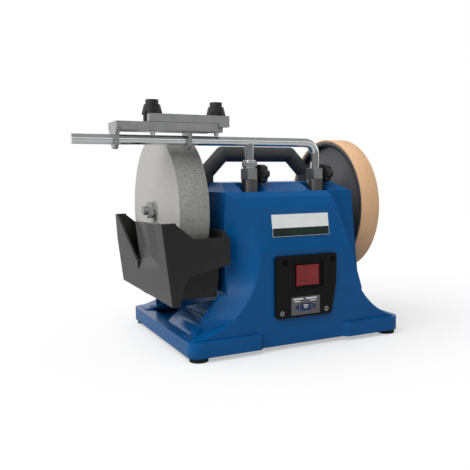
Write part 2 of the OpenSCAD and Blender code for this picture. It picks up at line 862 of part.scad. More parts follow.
// Flanged bush: the flange lies on the outside of the wall at x
module bush(x, side) color("peru") placed()
    difference() {
        union() {
            x_rod(bush_r, min(x, x - side * bush_l), max(x, x - side * bush_l), 0, shaft_z);
            x_rod(bush_r + 4, min(x, x + side * bush_flange), max(x, x + side * bush_flange), 0, shaft_z);
        }
        x_rod(shaft_d / 2 + run, x - bush_l - 5, x + bush_l + 5, 0, shaft_z);
    }

module bush_left() bush(left_wall, -1);
module bush_right() bush(tower_right, 1);

// Cup-shaped wheel: open towards the tower, web and hub at the outside
module honing_wheel() color("#2a2a2c") placed()
    difference() {
        union() {
            shaft_ring(hone_r - leather_t, hone_r - leather_t - rim_t, hone_x0, hone_x1);
            x_rod(hone_r - leather_t - 1, web_x0, web_x0 + web_t, 0, shaft_z);
            x_rod(hub_r, hub_x0, hone_nut_x, 0, shaft_z);
        }
        x_rod(shaft_d / 2, hone_x0 - 1, hone_x1 + 1, 0, shaft_z);
    }

module friction_ring() color("#151515") placed()
    shaft_ring(hone_r - leather_t - rim_t, ring_r, ring_x0, web_x0);

module leather_band() color("#d9a878") placed()
    shaft_ring(hone_r, hone_r - leather_t, hone_x0, hone_x1);

module honing_nut() color("silver") placed() {
    shaft_ring(washer_r, shaft_d / 2, hone_nut_x, hone_nut_x + washer_t);
    hex_nut_x(nut_d, hone_nut_x + washer_t, hone_nut_x + washer_t + nut_t, shaft_d / 2);
}

// ---------- Motor ----------

// Holes for the four tie bolts, and the bolts themselves
module tie_pattern(r, x0, x1)
    for (a = [45 : 90 : 315])
        x_rod(r, x0, x1, tie_r * cos(a), motor_z + tie_r * sin(a));

module motor_stator() color("slategray") placed()
    difference() {
        motor_ring(motor_r, rotor_r + 0.5, stator_x0, stator_x1);
        tie_pattern(2, stator_x0 - 1, stator_x1 + 1);
    }

module motor_windings() color("#b5652b") placed() {
    winding_r = motor_r - bell_wall - 1;
    for (ends = [[stator_x0 - 12, stator_x0], [stator_x1, stator_x1 + 12]])
        motor_ring(winding_r, rotor_r + 2, ends[0], ends[1]);
}

// End bell: a cup with a pocket for the bearing in its end wall
module motor_bell(x_open, x_end) color("lightslategray") placed() {
    side = x_end > x_open ? 1 : -1;
    x_in = x_end - side * bell_t;
    difference() {
        union() {
            motor_ring(motor_r, motor_r - bell_wall, min(x_open, x_end), max(x_open, x_end));
            x_rod(motor_r - 1, min(x_in, x_end), max(x_in, x_end), 0, motor_z);
            x_rod(bearing_r + 3, min(x_in - side * 4, x_end), max(x_in - side * 4, x_end), 0, motor_z);
        }
        x_rod(bearing_r, min(x_end - side * 9, x_end - side),
              max(x_end - side * 9, x_end - side), 0, motor_z);
        x_rod(motor_shaft_r + 1.5, x_end - 10, x_end + 10, 0, motor_z);
        tie_pattern(2, min(x_open, x_end) - 1, max(x_open, x_end) + 1);
        for (y = [-1, 1])
            x_rod(2.5, x_end - bell_t - 1, x_end + bell_t + 1, y * bracket_bolt_y, motor_z);
    }
}

module motor_bell_left() motor_bell(stator_x0, bell_x0);
module motor_bell_right() motor_bell(stator_x1, bell_x1);

module motor_bearings() color("silver") placed()
    for (x = [bell_x0 + 1, bell_x1 - 1 - bearing_w])
        motor_ring(bearing_r, motor_shaft_r + run, x, x + bearing_w);

module motor_tie_bolts() color("dimgray") placed() {
    tie_pattern(2, bell_x0, bell_x1);
    for (ends = [[bell_x0 - 3, bell_x0], [bell_x1, bell_x1 + 3]])
        tie_pattern(3.4, ends[0], ends[1]);
}

module motor_rotor() color("darkgray") placed()
    motor_ring(rotor_r, motor_shaft_r, stator_x0, stator_x1);

module motor_shaft() color("silver") placed()
    x_rod(motor_shaft_r, fan_x0 - 2, roller_x1, 0, motor_z);

// Knurled roller pushed on to the end of the motor's shaft
module drive_roller() color("lightgray") placed()
    motor_ring(roller_r, motor_shaft_r, roller_x0, roller_x1);

module motor_fan() color("#3c3c3c") placed()
    difference() {
        union() {
            x_rod(9, fan_x0, fan_x0 + fan_w, 0, motor_z);
            x_rod(fan_r, fan_x0, fan_x0 + 2, 0, motor_z);
            for (i = [0 : 7])
                translate([fan_x0 + 1, 0, motor_z]) rotate([i * 45 + 13, 0, 0])
                    translate([0, -1, 7]) cube([fan_w - 1.6, 2, fan_r - 9.5]);
        }
        x_rod(motor_shaft_r, fan_x0 - 1, fan_x0 + fan_w + 1, 0, motor_z);
    }

// Sheet-steel cradle: floor plate and two uprights bolted to the end bells
module motor_bracket() color("gray") placed() {
    x0 = bell_x0 - bracket_t;
    x1 = bell_x1 + bracket_t;
    top = motor_z + 22;
    difference() {
        union() {
            block([x0, -bracket_w / 2, cover_top], [x1, bracket_w / 2, cover_top + bracket_t]);
            for (x = [x0, bell_x1])
                block([x, -bracket_w / 2, cover_top], [x + bracket_t, bracket_w / 2, top]);
        }
        x_rod(bearing_r, x0 - 1, x1 + 1, 0, motor_z);
        for (y = [-1, 1])
            x_rod(2.6, x0 - 1, x1 + 1, y * bracket_bolt_y, motor_z);
        // Room for the heads of the tie bolts
        tie_pattern(4.2, x0 - 1, x1 + 1);
        for (sx = [-1, 1], sy = [-1, 1])
            z_rod(2.6, 0, base_top, motor_x + sx * bracket_foot_x, sy * bracket_foot_y);
    }
}

module bracket_bolts() color("dimgray") placed() {
    for (y = [-1, 1]) {
        x_rod(2.5, bell_x0 - bracket_t - eps, bell_x0 + bell_t, y * bracket_bolt_y, motor_z);
        x_rod(4.5, bell_x0 - bracket_t - 3, bell_x0 - bracket_t, y * bracket_bolt_y, motor_z);
        x_rod(2.5, bell_x1 - bell_t, bell_x1 + bracket_t + eps, y * bracket_bolt_y, motor_z);
        x_rod(4.5, bell_x1 + bracket_t, bell_x1 + bracket_t + 3, y * bracket_bolt_y, motor_z);
    }
    for (sx = [-1, 1], sy = [-1, 1]) {
        screw_up(motor_x + sx * bracket_foot_x, sy * bracket_foot_y, cover_z, 2.5, 10);
        difference() {
            z_rod(4.5, cover_top + bracket_t, cover_top + bracket_t + 4,
                  motor_x + sx * bracket_foot_x, sy * bracket_foot_y);
            z_rod(2, cover_top, cover_top + bracket_t + 5,
                  motor_x + sx * bracket_foot_x, sy * bracket_foot_y);
        }
    }
}

module run_capacitor() color("whitesmoke") placed() {
    z_rod(capacitor_r, cover_top, cover_top + capacitor_h, capacitor_x, capacitor_y);
    z_rod(capacitor_r * 0.7, cover_top + capacitor_h, cover_top + capacitor_h + 4, capacitor_x, capacitor_y);
}

// ---------- Switch, plates, gland and grille ----------

module switch_plate_outline()
    hull()
        for (p = [[plate_left, plate_top], [plate_right_top, plate_top],
                  [plate_right_top - 1, plate_top - 36],
                  [plate_right_bottom, plate_bottom], [plate_left, plate_bottom]])
            translate([p[0] + (p[0] < 0 ? plate_r : -plate_r), p[1] + (p[1] > 70 ? -plate_r : plate_r)])
                circle(plate_r, $fn = 32);

module switch_plate() color("#202022") placed()
    difference() {
        y_prism(plate_y - switch_plate_t, plate_y) switch_plate_outline();
        // Shallow recess round the rocker and the opening for its body
        block([switch_x - rocker_w / 2 - 3, plate_y - switch_plate_t - 1, switch_z - rocker_h / 2 - 3],
              [switch_x + rocker_w / 2 + 5, plate_y - switch_plate_t + 2, switch_z + rocker_h / 2 + 3]);
        block([switch_x - rocker_w / 2 - rocker_gap, plate_y - switch_plate_t - 1,
               switch_z - rocker_h / 2 - 0.5],
              [switch_x + rocker_w / 2 + rocker_gap, plate_y + 1, switch_z + rocker_h / 2 + 0.5]);
        for (p = screw_spots)
            y_rod(1.9, plate_y - switch_plate_t - 1, plate_y + 1, p[0], p[1]);
        for (p = screw_spots)
            y_rod(3.6, plate_y - switch_plate_t - 1, plate_y - switch_plate_t + 2, p[0], p[1]);
    }

module plate_screw(p) {
    y_rod(1.8, plate_y - switch_plate_t + 2 - eps, plate_y + 3, p[0], p[1]);
    y_rod(3.3, plate_y - switch_plate_t + 0.4, plate_y - switch_plate_t + 2, p[0], p[1]);
}

module switch_screws() color("silver") placed()
    for (p = screw_spots)
        plate_screw(p);

// Switch module behind the plate: two ears hold the rocker's upright pin
module switch_body() color("#303034") placed() {
    half = rocker_h / 2;
    block([switch_x - module_x, pivot_y + 4, switch_z - half - module_rim],
          [switch_x + module_x, pivot_y + module_depth, switch_z + half + module_rim]);
    for (s = [-1, 1])
        block([switch_x - 4, pivot_y - 2.2, switch_z + s * (half + 1.9) - 1.6],
              [switch_x + 4, pivot_y + 4 + eps, switch_z + s * (half + 1.9) + 1.6]);
    z_rod(pin_r, switch_z - half - 2, switch_z + half + 2, switch_x, pivot_y);
}

// Rocker, rolling left and right about the pin
module switch_rocker() color("#c8242c") placed() {
    half = rocker_w / 2;
    front = plate_y - switch_plate_t;
    low = switch_z - rocker_h / 2 + 0.3;
    difference() {
        union() {
            translate([0, 0, low]) linear_extrude(rocker_h - 0.6)
                polygon([[switch_x - half, front + 0.8], [switch_x - half + 1, front - 0.2],
                         [switch_x, front + 1.2], [switch_x + half - 1, front - 0.2],
                         [switch_x + half, front + 0.8], [switch_x + half, front + 3],
                         [switch_x + 3, front + 3.4], [switch_x + 3, pivot_y],
                         [switch_x - 3, pivot_y], [switch_x - 3, front + 3.4],
                         [switch_x - half, front + 3]]);
            z_rod(3, low, low + rocker_h - 0.6, switch_x, pivot_y);
        }
        z_rod(pin_r + run, low - 1, low + rocker_h + 1, switch_x, pivot_y);
    }
}

module switch_label() color("#8d8f94") placed()
    block([label_x, plate_y - switch_plate_t - 0.4, label_z],
          [label_x + label_w, plate_y - switch_plate_t, label_z + label_h]);

// Carries flat pieces on the leaning upper part of the front fairing
module on_leaning_front() {
    translate([0, -fairing_y, lean_z]) rotate([-lean_angle, 0, 0]) children();
}

module name_plate() color("white") placed()
    on_leaning_front()
        block([-name_w / 2, -plate_t, name_z - lean_z], [name_w / 2, 0, name_z - lean_z + name_h]);

module name_strip() color("#22322f") placed()
    on_leaning_front()
        block([-name_w / 2, -plate_t, name_z - lean_z - strip_h], [name_w / 2, 0, name_z - lean_z]);

module cable_gland() color("#1c1c1e") placed()
    difference() {
        union() {
            y_rod(8, fairing_y - wall - 8, fairing_y, gland_x, gland_z);
            translate([gland_x, fairing_y + 5, gland_z]) rotate([90, 0, 0])
                cylinder(d = 22, h = 5, $fn = 6);
        }
        y_rod(gland_bore_d / 2, fairing_y - wall - 9, fairing_y + 8, gland_x, gland_z);
    }

module vent_grille() color("#1c1c1e") placed()
    difference() {
        block([-vent_x, fairing_y - wall, vent_z], [vent_x, fairing_y + 1, vent_z + vent_h]);
        for (i = [0 : vent_slats - 1])
            translate([0, 0, vent_z + 4 + i * vent_pitch])
                block([4 - vent_x, fairing_y - wall - 1, 0], [vent_x - 4, fairing_y + 2, vent_pitch * 0.57]);
    }

// ---------- Water trough ----------

// Everything on the left of a plane that passes x = a at y = 0, z = 0
module left_of(a, per_y, per_z)
    multmatrix([[1, per_y, per_z, a], [0, 1, 0, 0], [0, 0, 1, 0], [0, 0, 0, 1]])
        block([-40, -trough_y - 5, floor_z - 20], [0, trough_y + 5, trough_top + 5]);

// A panel sunk in the left wall: depth at the foot of the wall's height, and
// how it changes with y and z
module sunk_panel(depth, per_y, per_z, grow)
    left_of(trough_x0 + trough_slope * trough_top + depth + grow, per_y, per_z - trough_slope);

// Pressed shapes in the left wall, grown all round by the given amount
module left_pressing(grow) {
    intersection() {
        sunk_panel(panel_depth, 0, 0, grow);
        sunk_panel(panel_depth * (1 + 38 / ramp_run), panel_depth / ramp_run, 0, grow);
        sunk_panel(-shelf_rise * shelf_z - 4 * shelf_skew, shelf_skew, shelf_rise, grow);
        block([trough_x0 - 5, -trough_y, floor_z], [stone_x0, notch_y + grow, trough_top + 2]);
    }
    intersection() {
        sunk_panel(-0.06 * (shelf_z + 2), -0.016, 0.06, grow);
        block([trough_x0 - 5, notch_y - 1, floor_z], [stone_x0, trough_y + 1, trough_top + 2]);
    }
}

// Full-depth part of the trough from the front, shrunk all round
module trough_front(inset)
    polygon([
        [trough_x0 + inset, trough_top + 1], [trough_x0 + trough_lean + inset, floor_z + inset],
        [stone_x0 - 6 - inset, floor_z - 1 + inset], [stone_x0 - 1 - inset, floor_z + 23 + inset],
        [stone_x0 + 7, apron_z - 46 + inset], [trough_x1 - inset, apron_z - 36 + inset],
        [trough_x1 - inset, trough_top + 1]
    ]);

// Narrower sump under it, shrunk all round
module trough_sump(inset)
    intersection() {
        x_prism(trough_x0 + trough_lean, trough_x1 + 1)
            polygon([
                [inset - sump_y, apron_z - 30], [inset - sump_y, floor_z + 3 + inset],
                [0, floor_z - dip + 3 + inset],
                [sump_y - inset, floor_z + 3 + inset], [sump_y - inset, apron_z - 30]
            ]);
        y_prism(-sump_y - 1, sump_y + 1)
            polygon([
                [trough_x0 + trough_lean + inset, floor_z - dip], [trough_x1 - 5 - inset, floor_z - dip],
                [trough_x1 - inset, floor_z + 30], [trough_x1 - inset, apron_z - 30],
                [trough_x0 + trough_lean + inset, apron_z - 30]
            ]);
    }

module trough_body(inset)
    difference() {
        union() {
            y_prism(-trough_y + inset, trough_y - inset) trough_front(inset);
            trough_sump(inset);
        }
        left_pressing(inset);
    }

module water_trough() color("#3a3a3c") placed() {
    difference() {
        union() {
            trough_body(0);
            // Front and rear aprons reach over the guide rails
            for (s = [-1, 1])
                block([trough_x1 - 4, min(s * trough_y, s * (trough_y - trough_wall)), apron_z - 36],
                      [left_wall - 0.6, max(s * trough_y, s * (trough_y - trough_wall)), apron_z]);
        }
        trough_body(trough_wall);
        // Front and rear rims step down towards the housing
        y_prism(-trough_y - 2, trough_y + 2)
            polygon([[stone_x0 - 10, trough_top + 3], [stone_x0 - 10, trough_top - 1],
                     [stone_x0 + 12, apron_z], [trough_x1 - trough_wall - 2, apron_z],
                     [trough_x1 - trough_wall - 2, apron_z + 8], [left_wall + 1, apron_z + 8],
                     [left_wall + 1, trough_top + 3]]);
        // Left rim falls towards the notch
        x_prism(trough_x0 - 2, trough_x0 + 12)
            polygon([[-rim_fall_y, trough_top], [notch_y + 1, trough_top - rim_fall],
                     [notch_y + 1, trough_top + 3], [-rim_fall_y, trough_top + 3]]);
        // Pouring notch in the left wall
        x_prism(trough_x0 - 2, stone_x0 - 3)
            polygon([[notch_y, trough_top + 3], [notch_y, notch_z], [notch_y + 3, notch_z],
                     [trough_y - 6, trough_top + 3]]);
    }
    // Channels that slide on the guide rails
    for (y = [-rail_y, rail_y])
        difference() {
            block([trough_x1, y - rail_head / 2 - 4, rail_z0 + 2],
                  [left_wall - 0.5, y + rail_head / 2 + 4, rail_z1]);
            block([trough_x1 - 1, y - rail_head / 2 - gap, rail_z0],
                  [left_wall - 2.8, y + rail_head / 2 + gap, rail_z1 + 2]);
            block([left_wall - 4, y - rail_neck / 2 - gap, rail_z0],
                  [left_wall, y + rail_neck / 2 + gap, rail_z1 + 2]);
        }
}

// Upright T-section rails on the tower's left wall
module trough_rails() color("#202022") placed()
    for (y = [-rail_y, rail_y]) {
        block([left_wall - 3.2, y - rail_neck / 2, rail_z0], [left_wall, y + rail_neck / 2, rail_z1 + 4]);
        block([trough_x1 + gap, y - rail_head / 2, rail_z0],
              [left_wall - 3.1, y + rail_head / 2, rail_z1 + 4]);
    }

// ---------- Nodes ----------

housing();
bottom_cover();
cover_screws();
rubber_feet();
foot_screws();
handle();
handle_feet();
handle_screws();
guide_sleeve_left();
guide_sleeve_right();
clamp_collar_left();
clamp_collar_right();
lock_screw_left();
lock_screw_right();
lock_knob_left();
lock_knob_right();
support_bar();
support_leg();
height_nut();
jig_base();
jig_studs();
jig_clamp_bar();
jig_knob_left();
jig_knob_right();
main_shaft();
grinding_stone();
stone_flange();
stone_washer();
stone_nut();
shaft_spacers();
bush_left();
bush_right();
honing_wheel();
friction_ring();
leather_band();
honing_nut();
motor_stator();
motor_windings();
motor_bell_left();
motor_bell_right();
motor_bearings();
motor_tie_bolts();
motor_rotor();
motor_shaft();
drive_roller();
motor_fan();
motor_bracket();
bracket_bolts();
run_capacitor();
switch_plate();
switch_screws();
switch_body();
switch_rocker();
switch_label();
name_plate();
name_strip();
cable_gland();
vent_grille();
water_trough();
trough_rails();
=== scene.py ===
"""Wet grinding sharpener: finishes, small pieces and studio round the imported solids.

Frame: +X along the main shaft towards the honing wheel, -Y the operator's side,
+Z up, metres, Z = 0 the surface that the feet stand on.
"""

from __future__ import annotations

import json
import logging
import math
from dataclasses import dataclass
from enum import Enum
from typing import Any

import bmesh
import bpy
from mathutils import Matrix, Vector

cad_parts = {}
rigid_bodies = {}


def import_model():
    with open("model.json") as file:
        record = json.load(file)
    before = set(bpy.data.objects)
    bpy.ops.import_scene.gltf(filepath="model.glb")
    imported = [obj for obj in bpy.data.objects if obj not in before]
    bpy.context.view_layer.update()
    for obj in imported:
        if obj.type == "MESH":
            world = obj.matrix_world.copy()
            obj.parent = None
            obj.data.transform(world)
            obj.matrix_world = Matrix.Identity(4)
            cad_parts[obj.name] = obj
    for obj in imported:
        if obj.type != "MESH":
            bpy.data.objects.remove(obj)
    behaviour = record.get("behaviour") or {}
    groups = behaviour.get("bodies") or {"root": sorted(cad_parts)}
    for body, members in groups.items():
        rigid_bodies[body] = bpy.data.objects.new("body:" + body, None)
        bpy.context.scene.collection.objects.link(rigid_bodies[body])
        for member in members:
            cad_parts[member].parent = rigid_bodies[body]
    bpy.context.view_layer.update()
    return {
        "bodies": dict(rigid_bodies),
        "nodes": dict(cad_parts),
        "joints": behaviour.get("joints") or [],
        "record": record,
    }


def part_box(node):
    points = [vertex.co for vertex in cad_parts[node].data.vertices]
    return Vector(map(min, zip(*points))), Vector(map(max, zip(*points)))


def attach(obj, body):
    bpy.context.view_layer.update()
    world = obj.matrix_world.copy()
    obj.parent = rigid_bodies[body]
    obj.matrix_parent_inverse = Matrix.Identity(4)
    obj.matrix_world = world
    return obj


log = logging.getLogger("sharpener")

MM = 0.001


class Body(Enum):
    """CAD bodies that pieces ride on."""

    MACHINE = "machine"
    WHEELS = "wheels"
    HEIGHT_WHEEL = "height_wheel"
    KNOB_LEFT = "jig_knob_l"
    KNOB_RIGHT = "jig_knob_r"


# ---------- Finishes ----------


def linear(hex_colour: str) -> tuple[float, float, float, float]:
    """Turn an sRGB hex value into a linear colour.

    Args:
        hex_colour: The colour as six hex digits after a hash sign.

    Returns:
        Linear red, green and blue, and an alpha of one.
    """
    channels = [int(hex_colour[i : i + 2], 16) / 255 for i in (1, 3, 5)]
    red, green, blue = (
        c / 12.92 if c <= 0.04045 else ((c + 0.055) / 1.055) ** 2.4 for c in channels
    )
    return red, green, blue, 1.0


def add_node(
    tree: bpy.types.NodeTree,
    kind: str,
    settings: dict[str, Any] | None = None,
    links: dict[str, tuple[bpy.types.Node, str]] | None = None,
) -> bpy.types.Node:
    """Add a shader node with its settings and links.

    Args:
        tree: The node tree that takes the node.
        kind: The node's Blender type.
        settings: Socket or property values by name.
        links: For each input socket, the node and output that feed it.

    Returns:
        The new node.
    """
    node = tree.nodes.new(kind)
    for name, value in (settings or {}).items():
        if name in node.inputs:
            node.inputs[name].default_value = value
        else:
            setattr(node, name, value)
    for name, (source, output) in (links or {}).items():
        tree.links.new(source.outputs[output], node.inputs[name])
    return node


# A wave texture of scale 1 runs through this many radians per metre
WAVE_RADIANS = 20
# Places of a mix node's colour sockets, whose names repeat for each kind of data
MIX_A, MIX_B, MIX_RESULT = 6, 7, 2


class Lay(Enum):
    """Direction that a surface's tool marks run in."""

    ALONG_X = (1.0, 30.0, 30.0)
    ALONG_Z = (30.0, 30.0, 1.0)
    ROUND_X = (40.0, 1.0, 1.0)


@dataclass(frozen=True)
class Finish:
    """One real surface: its colour, gloss and grain.

    The second colour is what the first shades into in soft clouds. A grain is
    a fine unevenness of the surface, given by its real width and depth.
    """

    name: str
    colour: str
    second: str
    roughness: float
    metallic: float = 0.0
    specular: float = 0.5
    coat: float = 0.0
    sheen: float = 0.0
    cloud_mm: float = 18.0
    gloss_change: float = 0.04
    grain_mm: float = 0.8
    grain_depth_mm: float = 0.02

    def material(self) -> bpy.types.Material:
        """Make the Blender material, once.

        Returns:
            The material of this finish.
        """
        known = bpy.data.materials.get(self.name)
        if known:
            return known
        made = bpy.data.materials.new(self.name)
        made.use_nodes = True
        tree = made.node_tree
        shader = tree.nodes["Principled BSDF"]
        for socket, value in (
            ("Roughness", self.roughness),
            ("Metallic", self.metallic),
            ("Specular IOR Level", self.specular),
            ("Coat Weight", self.coat),
            ("Sheen Weight", self.sheen),
        ):
            shader.inputs[socket].default_value = value
        place = add_node(tree, "ShaderNodeTexCoord")
        tree.links.new(self.colouring(tree, place), shader.inputs["Base Color"])
        height = self.relief(tree, place)
        bump = add_node(
            tree,
            "ShaderNodeBump",
            {"Distance": self.grain_depth_mm * MM},
            {"Height": (height, "Fac")},
        )
        tree.links.new(bump.outputs["Normal"], shader.inputs["Normal"])
        self.gloss(tree, place, shader)
        return made

    def colouring(
        self, tree: bpy.types.NodeTree, place: bpy.types.Node
    ) -> bpy.types.NodeSocket:
        """Shade the first colour into the second in soft clouds.

        Args:
            tree: The material's node tree.
            place: The texture coordinates.

        Returns:
            The socket that gives the colour.
        """
        cloud = self.noise(tree, place, self.cloud_mm, 3.0)
        ramp = self.ramp(tree, cloud, (0.35, self.colour), (0.65, self.second))
        return ramp.outputs["Color"]

    def relief(self, tree: bpy.types.NodeTree, place: bpy.types.Node) -> bpy.types.Node:
        """Give the height of the surface's grain.

        Args:
            tree: The material's node tree.
            place: The texture coordinates.

        Returns:
            A node with a Fac output.
        """
        return self.noise(tree, place, self.grain_mm, 2.0)

    def gloss(
        self, tree: bpy.types.NodeTree, place: bpy.types.Node, shader: bpy.types.Node
    ) -> None:
        """Let the gloss change a little from place to place.

        Args:
            tree: The material's node tree.
            place: The texture coordinates.
            shader: The principled shader.
        """
        low, high = self.roughness - self.gloss_change, self.roughness + self.gloss_change
        cloud = self.noise(tree, place, self.cloud_mm * 0.6, 4.0)
        change = add_node(
            tree,
            "ShaderNodeMapRange",
            {"To Min": low, "To Max": high},
            {"Value": (cloud, "Fac")},
        )
        tree.links.new(change.outputs["Result"], shader.inputs["Roughness"])

    def noise(
        self,
        tree: bpy.types.NodeTree,
        place: bpy.types.Node,
        width_mm: float,
        detail: float,
        stretch: tuple[float, float, float] = (1.0, 1.0, 1.0),
    ) -> bpy.types.Node:
        """Add a noise of a real width.

        Args:
            tree: The material's node tree.
            place: The texture coordinates.
            width_mm: Width of one patch of the noise.
            detail: How many finer layers it has.
            stretch: How much finer the noise is along each axis.

        Returns:
            The noise node, with a Fac output.
        """
        spread = add_node(
            tree, "ShaderNodeMapping", {"Scale": stretch}, {"Vector": (place, "Object")}
        )
        return add_node(
            tree,
            "ShaderNodeTexNoise",
            {"Scale": 1 / (width_mm * MM), "Detail": detail, "Roughness": 0.6},
            {"Vector": (spread, "Vector")},
        )

    def ramp(
        self, tree: bpy.types.NodeTree, source: bpy.types.Node, *stops: tuple[float, str]
    ) -> bpy.types.Node:
        """Turn a value into colours.

        Args:
            tree: The material's node tree.
            source: Node whose Fac or Value output is read.
            stops: Places from 0 to 1 and their colours.

        Returns:
            The ramp node, with a Color output.
        """
        output = "Fac" if "Fac" in source.outputs else "Value"
        made = add_node(tree, "ShaderNodeValToRGB", links={"Fac": (source, output)})
        bar = made.color_ramp
        while len(bar.elements) < len(stops):
            bar.elements.new(0.5)
        for element, (at, colour) in zip(bar.elements, stops):
            element.position = at
            element.color = linear(colour)
        return made


@dataclass(frozen=True)
class WorkedMetal(Finish):
    """Metal with fine marks of its tool or wheel, all in one direction."""

    lay: Lay = Lay.ALONG_X
    mark_length: float = 20.0

    def relief(self, tree: bpy.types.NodeTree, place: bpy.types.Node) -> bpy.types.Node:
        """Draw the tool marks as noise that is long one way.

        Args:
            tree: The material's node tree.
            place: The texture coordinates.

        Returns:
            A node with a Fac output.
        """
        return self.noise(tree, place, self.grain_mm * self.mark_length, 2.0, self.lay.value)


@dataclass(frozen=True)
class ThreadedSteel(WorkedMetal):
    """Steel rod with a rolled thread, drawn as rings along X."""

    pitch_mm: float = 1.75

    def relief(self, tree: bpy.types.NodeTree, place: bpy.types.Node) -> bpy.types.Node:
        """Raise one ring for each turn of the thread.

        Args:
            tree: The material's node tree.
            place: The texture coordinates.

        Returns:
            A node with a Fac output.
        """
        return add_node(
            tree,
            "ShaderNodeTexWave",
            {"Scale": math.tau / (WAVE_RADIANS * self.pitch_mm * MM), "bands_direction": "X"},
            {"Vector": (place, "Object")},
        )


@dataclass(frozen=True)
class Grindstone(Finish):
    """Bonded aluminium oxide: pale gritty sides, and a dressed rim whose colour is also darkened
    as painted shade.
    """

    rim_dark_dressing_and_shade: str = "#80807f"
    rim_pale_dressing_and_shade: str = "#b4b4b2"
    layer_mm: float = 1.1
    grit_squeeze: tuple[float, float, float] = (1.0, 1.6, 0.4)
    layer_squeeze: tuple[float, float, float] = (0.35, 1.0, 1.0)

    def colouring(
        self, tree: bpy.types.NodeTree, place: bpy.types.Node
    ) -> bpy.types.NodeSocket:
        """Speckle the sides, and lay the rim in fine lines across its width, in darker colours
        that are partly the dressing and partly painted shade.

        The lines and the grit are drawn about twice too coarse, to show.

        Args:
            tree: The material's node tree.
            place: The texture coordinates.

        Returns:
            The socket that gives the colour.
        """
        grit = self.noise(tree, place, self.grain_mm, 3.0, self.grit_squeeze)
        side = self.ramp(tree, grit, (0.3, self.second), (0.62, self.colour))
        layers = self.noise(tree, place, self.layer_mm, 4.0, self.layer_squeeze)
        rim_dressing_and_shade = self.ramp(tree, layers, (0.3, self.rim_dark_dressing_and_shade), (0.7, self.rim_pale_dressing_and_shade))
        # The rim is picked by its facing; its darker colours are partly the dressing, partly
        # painted shade
        facing = add_node(tree, "ShaderNodeNewGeometry")
        parts = add_node(tree, "ShaderNodeSeparateXYZ", links={"Vector": (facing, "True Normal")})
        flat = add_node(tree, "ShaderNodeMath", {"operation": "ABSOLUTE"})
        tree.links.new(parts.outputs["X"], flat.inputs[0])
        both = add_node(tree, "ShaderNodeMix", {"data_type": "RGBA"})
        tree.links.new(flat.outputs[0], both.inputs["Factor"])
        tree.links.new(rim_dressing_and_shade.outputs["Color"], both.inputs[MIX_A])
        tree.links.new(side.outputs["Color"], both.inputs[MIX_B])
        return both.outputs[MIX_RESULT]


@dataclass(frozen=True)
class Leather(Finish):
    """Vegetable-tanned band: fine pores, and streaks where tools are honed."""

    streak: str = "#b98e67"
    streak_mm: float = 16.0

    def colouring(
        self, tree: bpy.types.NodeTree, place: bpy.types.Node
    ) -> bpy.types.NodeSocket:
        """Streak the band round its run.

        Args:
            tree: The material's node tree.
            place: The texture coordinates.

        Returns:
            The socket that gives the colour.
        """
        fibres = self.noise(tree, place, self.streak_mm, 5.0, Lay.ROUND_X.value)
        ramp = self.ramp(
            tree, fibres, (0.22, self.streak), (0.45, self.second), (0.7, self.colour)
        )
        return ramp.outputs["Color"]


# ABS, moulded against a polished tool: one even, saturated blue with a soft gloss
BLUE_SHELL = Finish(
    "glossy_blue_abs", "#04538f", "#065794", 0.24, specular=0.2, grain_mm=1.2, grain_depth_mm=0.008
)
# Polypropylene, moulded against a spark-eroded tool: nearly black from the front,
# and grey where it is seen at a slant
TROUGH_GREY = Finish(
    "grained_grey_polypropylene",
    "#232322",
    "#272726",
    0.28,
    specular=0.3,
    sheen=0.03,
    grain_mm=0.7,
    grain_depth_mm=0.008,
)
# Nylon, glass filled and moulded: dark grey with a dull gloss
BLACK_NYLON = Finish(
    "glass_filled_nylon",
    "#373738",
    "#3e3e3f",
    0.42,
    specular=0.4,
    grain_mm=0.6,
    grain_depth_mm=0.03,
)
# Phenolic, pressed: black and a little glossier than the handle
BLACK_PHENOLIC = Finish(
    "pressed_black_phenolic", "#1e1e1f", "#252526", 0.33, specular=0.35, grain_mm=1.0
)
# Polypropylene, moulded red-brown, with a dull skin
BROWN_FOOT = Finish("moulded_brown_polypropylene", "#40201a", "#4a271f", 0.5, specular=0.3)
# Steel bar, centreless ground and chrome plated: a mirror with faint lines along it
CHROMED_BAR = WorkedMetal(
    "chrome_plated_ground_bar",
    "#dcddde",
    "#e4e5e6",
    0.09,
    metallic=1.0,
    gloss_change=0.02,
    grain_mm=0.4,
    grain_depth_mm=0.002,
)
# Aluminium, extruded and tumbled: softly bright with a fine drawn line
DRAWN_ALUMINIUM = WorkedMetal(
    "tumbled_extruded_aluminium",
    "#9fa0a0",
    "#a9aaa9",
    0.36,
    metallic=1.0,
    gloss_change=0.05,
    grain_mm=0.5,
    grain_depth_mm=0.01,
)
# Steel, turned and zinc plated: cool grey, rings of the turning round it
ZINC_STEEL = WorkedMetal(
    "zinc_plated_turned_steel",
    "#8e9092",
    "#9b9da0",
    0.26,
    metallic=1.0,
    lay=Lay.ROUND_X,
    grain_mm=0.4,
    grain_depth_mm=0.01,
)
# Steel, milled and nickel plated: pale grey, with the mill's marks upright
NICKEL_COLLAR = WorkedMetal(
    "nickel_plated_milled_steel",
    "#b2b3b4",
    "#c6c7c8",
    0.24,
    metallic=1.0,
    lay=Lay.ALONG_Z,
    grain_mm=0.4,
    grain_depth_mm=0.01,
)
# Steel rod with a rolled thread, zinc plated
SHAFT_STEEL = ThreadedSteel(
    "rolled_thread_zinc_steel", "#8f9193", "#9da0a2", 0.28, metallic=1.0, grain_depth_mm=0.25
)
# Steel, turned and oil blacked
BLACKED_STEEL = WorkedMetal(
    "oil_blacked_turned_steel", "#4a4a4a", "#575655", 0.34, metallic=1.0, lay=Lay.ALONG_Z
)
